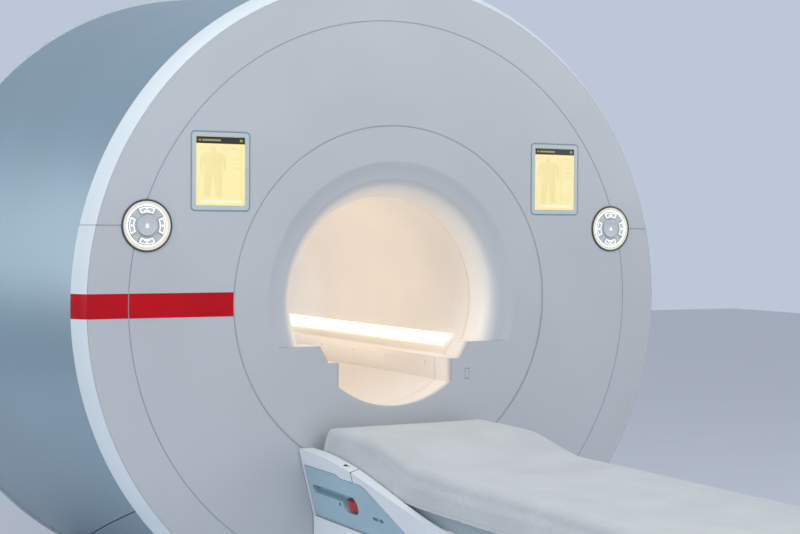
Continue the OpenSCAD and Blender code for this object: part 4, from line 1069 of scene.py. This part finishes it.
def overBed(a, b, radius):  # place on the wrapped cloth; a and b run over it from its middle, in metres
    grow = linen["gap"]
    halfX = mattress["half"] + grow - radius
    middleY = (mattress["front"] + mattress["back"]) / 2
    halfY = (mattress["front"] - mattress["back"]) / 2 + grow - radius
    overX = max(0.0, abs(a) - halfX)
    overY = max(0.0, abs(b) - halfY)
    baseX = math.copysign(min(abs(a), halfX), a)
    baseY = middleY + math.copysign(min(abs(b), halfY), b)
    reach = max(overX, overY)
    if reach == 0:
        return Vector((baseX, baseY, bedHeight(baseY) + grow)), Vector((0, 0, 1)), 0.0
    if overX >= overY:
        turn = overY / overX * math.pi / 4
    else:
        turn = math.pi / 2 - overX / overY * math.pi / 4
    side = Vector((math.copysign(math.cos(turn), a), math.copysign(math.sin(turn), b), 0))
    arc = radius * math.pi / 2
    hem = linen["hem"] + (linen["hemRaised"] - linen["hem"]) * raised(baseY)
    skirt = bedHeight(baseY) + grow - radius - hem
    longest = mattress["top"] + mattress["rise"] + grow - radius - linen["hemRaised"]
    if reach < arc:
        bend = reach / radius
        out, drop = radius * math.sin(bend), radius - radius * math.cos(bend)
        outward = side * math.sin(bend) + Vector((0, 0, math.cos(bend)))
    else:
        out, drop = radius, radius + (reach - arc) * skirt / longest
        outward = side
    z = bedHeight(baseY) + grow - drop
    overRim = smooth((linen["rimBelow"] - z) / linen["rimRun"])
    out += (linen["rimOut"] - mattress["half"] - grow) * overRim * abs(side.x)
    x = baseX + side.x * out
    y = baseY + side.y * out
    return Vector((x, y + leanBack(y, z), z)), outward, reach


def clothFolds(a, b, hanging):  # how far the cloth stands off, in metres
    seed = linen["seed"]
    slant = noise.noise(Vector((a * 2.6 + b * 1.1, b * 0.9 - a * 1.3, seed + 4)))
    lump = noise.noise(Vector((a * 3.1, b * 2.3, seed)))
    swell = noise.noise(Vector((a * 4.2 + 0.9 * slant, b * 1.9 + 1.4 * slant, seed + 9)))
    ridge = max(0.0, 1 - 3.2 * abs(swell)) ** 2
    nick = noise.noise(Vector((a * 7.0 - b * 3.5, b * 5.0 + 2 * slant, seed + 15)))
    thin = max(0.0, 1 - 4.0 * abs(nick)) ** 2
    stand = linen["lump"] * (lump + 0.5) + linen["ridge"] * ridge * (0.6 + 0.7 * slant)
    stand += linen["crease"] * thin
    wave = noise.noise(Vector((a * 1.5, b * 13.0, seed + 21)))
    wave += 0.5 * noise.noise(Vector((a * 14.0, b * 29.0, seed + 27)))
    return max(0.0, stand * (1 - 0.6 * hanging) + linen["wave"] * hanging * wave)


def settle(piece, bed):  # let the cloth drop on the mattress and the tabletop, then keep that shape
    solids = []
    for shape in (bed.data, nodes["tabletop"].data):
        solid = bpy.data.objects.new("settleSolid", shape)
        scene.collection.objects.link(solid)
        solid.modifiers.new("solid", "COLLISION")
        solid.collision.thickness_outer = 0.001
        solid.collision.cloth_friction = 30
        solids.append(solid)
    start = [vert.co.copy() for vert in piece.data.vertices]
    drape = piece.modifiers.new("drape", "CLOTH")
    for setting, value in drapeSettings.items():
        setattr(drape.settings, setting, value)
    drape.collision_settings.distance_min = 0.0012
    drape.collision_settings.collision_quality = 3
    drape.point_cache.frame_start = 1
    drape.point_cache.frame_end = linen["frames"]
    for step in range(1, linen["frames"] + 1):
        scene.frame_set(step)
    settled = piece.evaluated_get(bpy.context.evaluated_depsgraph_get())
    moved = [vert.co.copy() for vert in settled.data.vertices]
    piece.modifiers.remove(drape)
    scene.frame_set(1)
    for solid in solids:
        bpy.data.objects.remove(solid)
    most = 0.0
    for vert, before, after in zip(piece.data.vertices, start, moved):
        step = after - before
        most = max(most, step.length)
        if step.length > linen["furthest"]:
            step *= linen["furthest"] / step.length
        vert.co = before + step
    print("sheet settled, furthest move", round(most * 1000, 1), "mm")


def makeSheet(bed):
    radius = mattress["edge"] + linen["gap"]
    halfX = mattress["half"] + linen["gap"]
    halfY = (mattress["front"] - mattress["back"]) / 2 + linen["gap"]
    arc = radius * math.pi / 2
    skirt = mattress["top"] + mattress["rise"] + linen["gap"] - radius - linen["hemRaised"]
    spanX = 2 * (halfX - radius + arc + skirt)
    spanY = 2 * (halfY - radius + arc + skirt)
    bm = bmesh.new()
    columns, rows = round(spanX / linen["cell"]), round(spanY / linen["cell"])
    bmesh.ops.create_grid(bm, x_segments=columns, y_segments=rows, size=0.5)
    hem = bm.verts.layers.float.new("hem")
    for vert in bm.verts:
        a = vert.co.x * spanX
        b = vert.co.y * spanY
        vert[hem] = min(spanX / 2 - abs(a), spanY / 2 - abs(b))
        point, outward, reach = overBed(a, b, radius)
        vert.co = point + outward * clothFolds(a, b, smooth((reach - arc) / linen["waveRun"]))
    piece = keepPiece("cottonSheet", bm, finishes["sheet_cloth"], "tabletop")
    settle(piece, bed)
    for vert in piece.data.vertices:
        if vert.co.z < linen["shoulderBelow"]:  # room for the shoulders of the table
            vert.co.x = max(-linen["shoulderLimit"], min(linen["shoulderLimit"], vert.co.x))
        vert.co.y = min(linen["frontLimit"], vert.co.y)  # room for the gantry
    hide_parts("sheet")
    finer = piece.modifiers.new("finer", "SUBSURF")
    finer.levels = 1
    finer.render_levels = 1


makeSheet(makeMattress())
print("mattress and sheet ready")
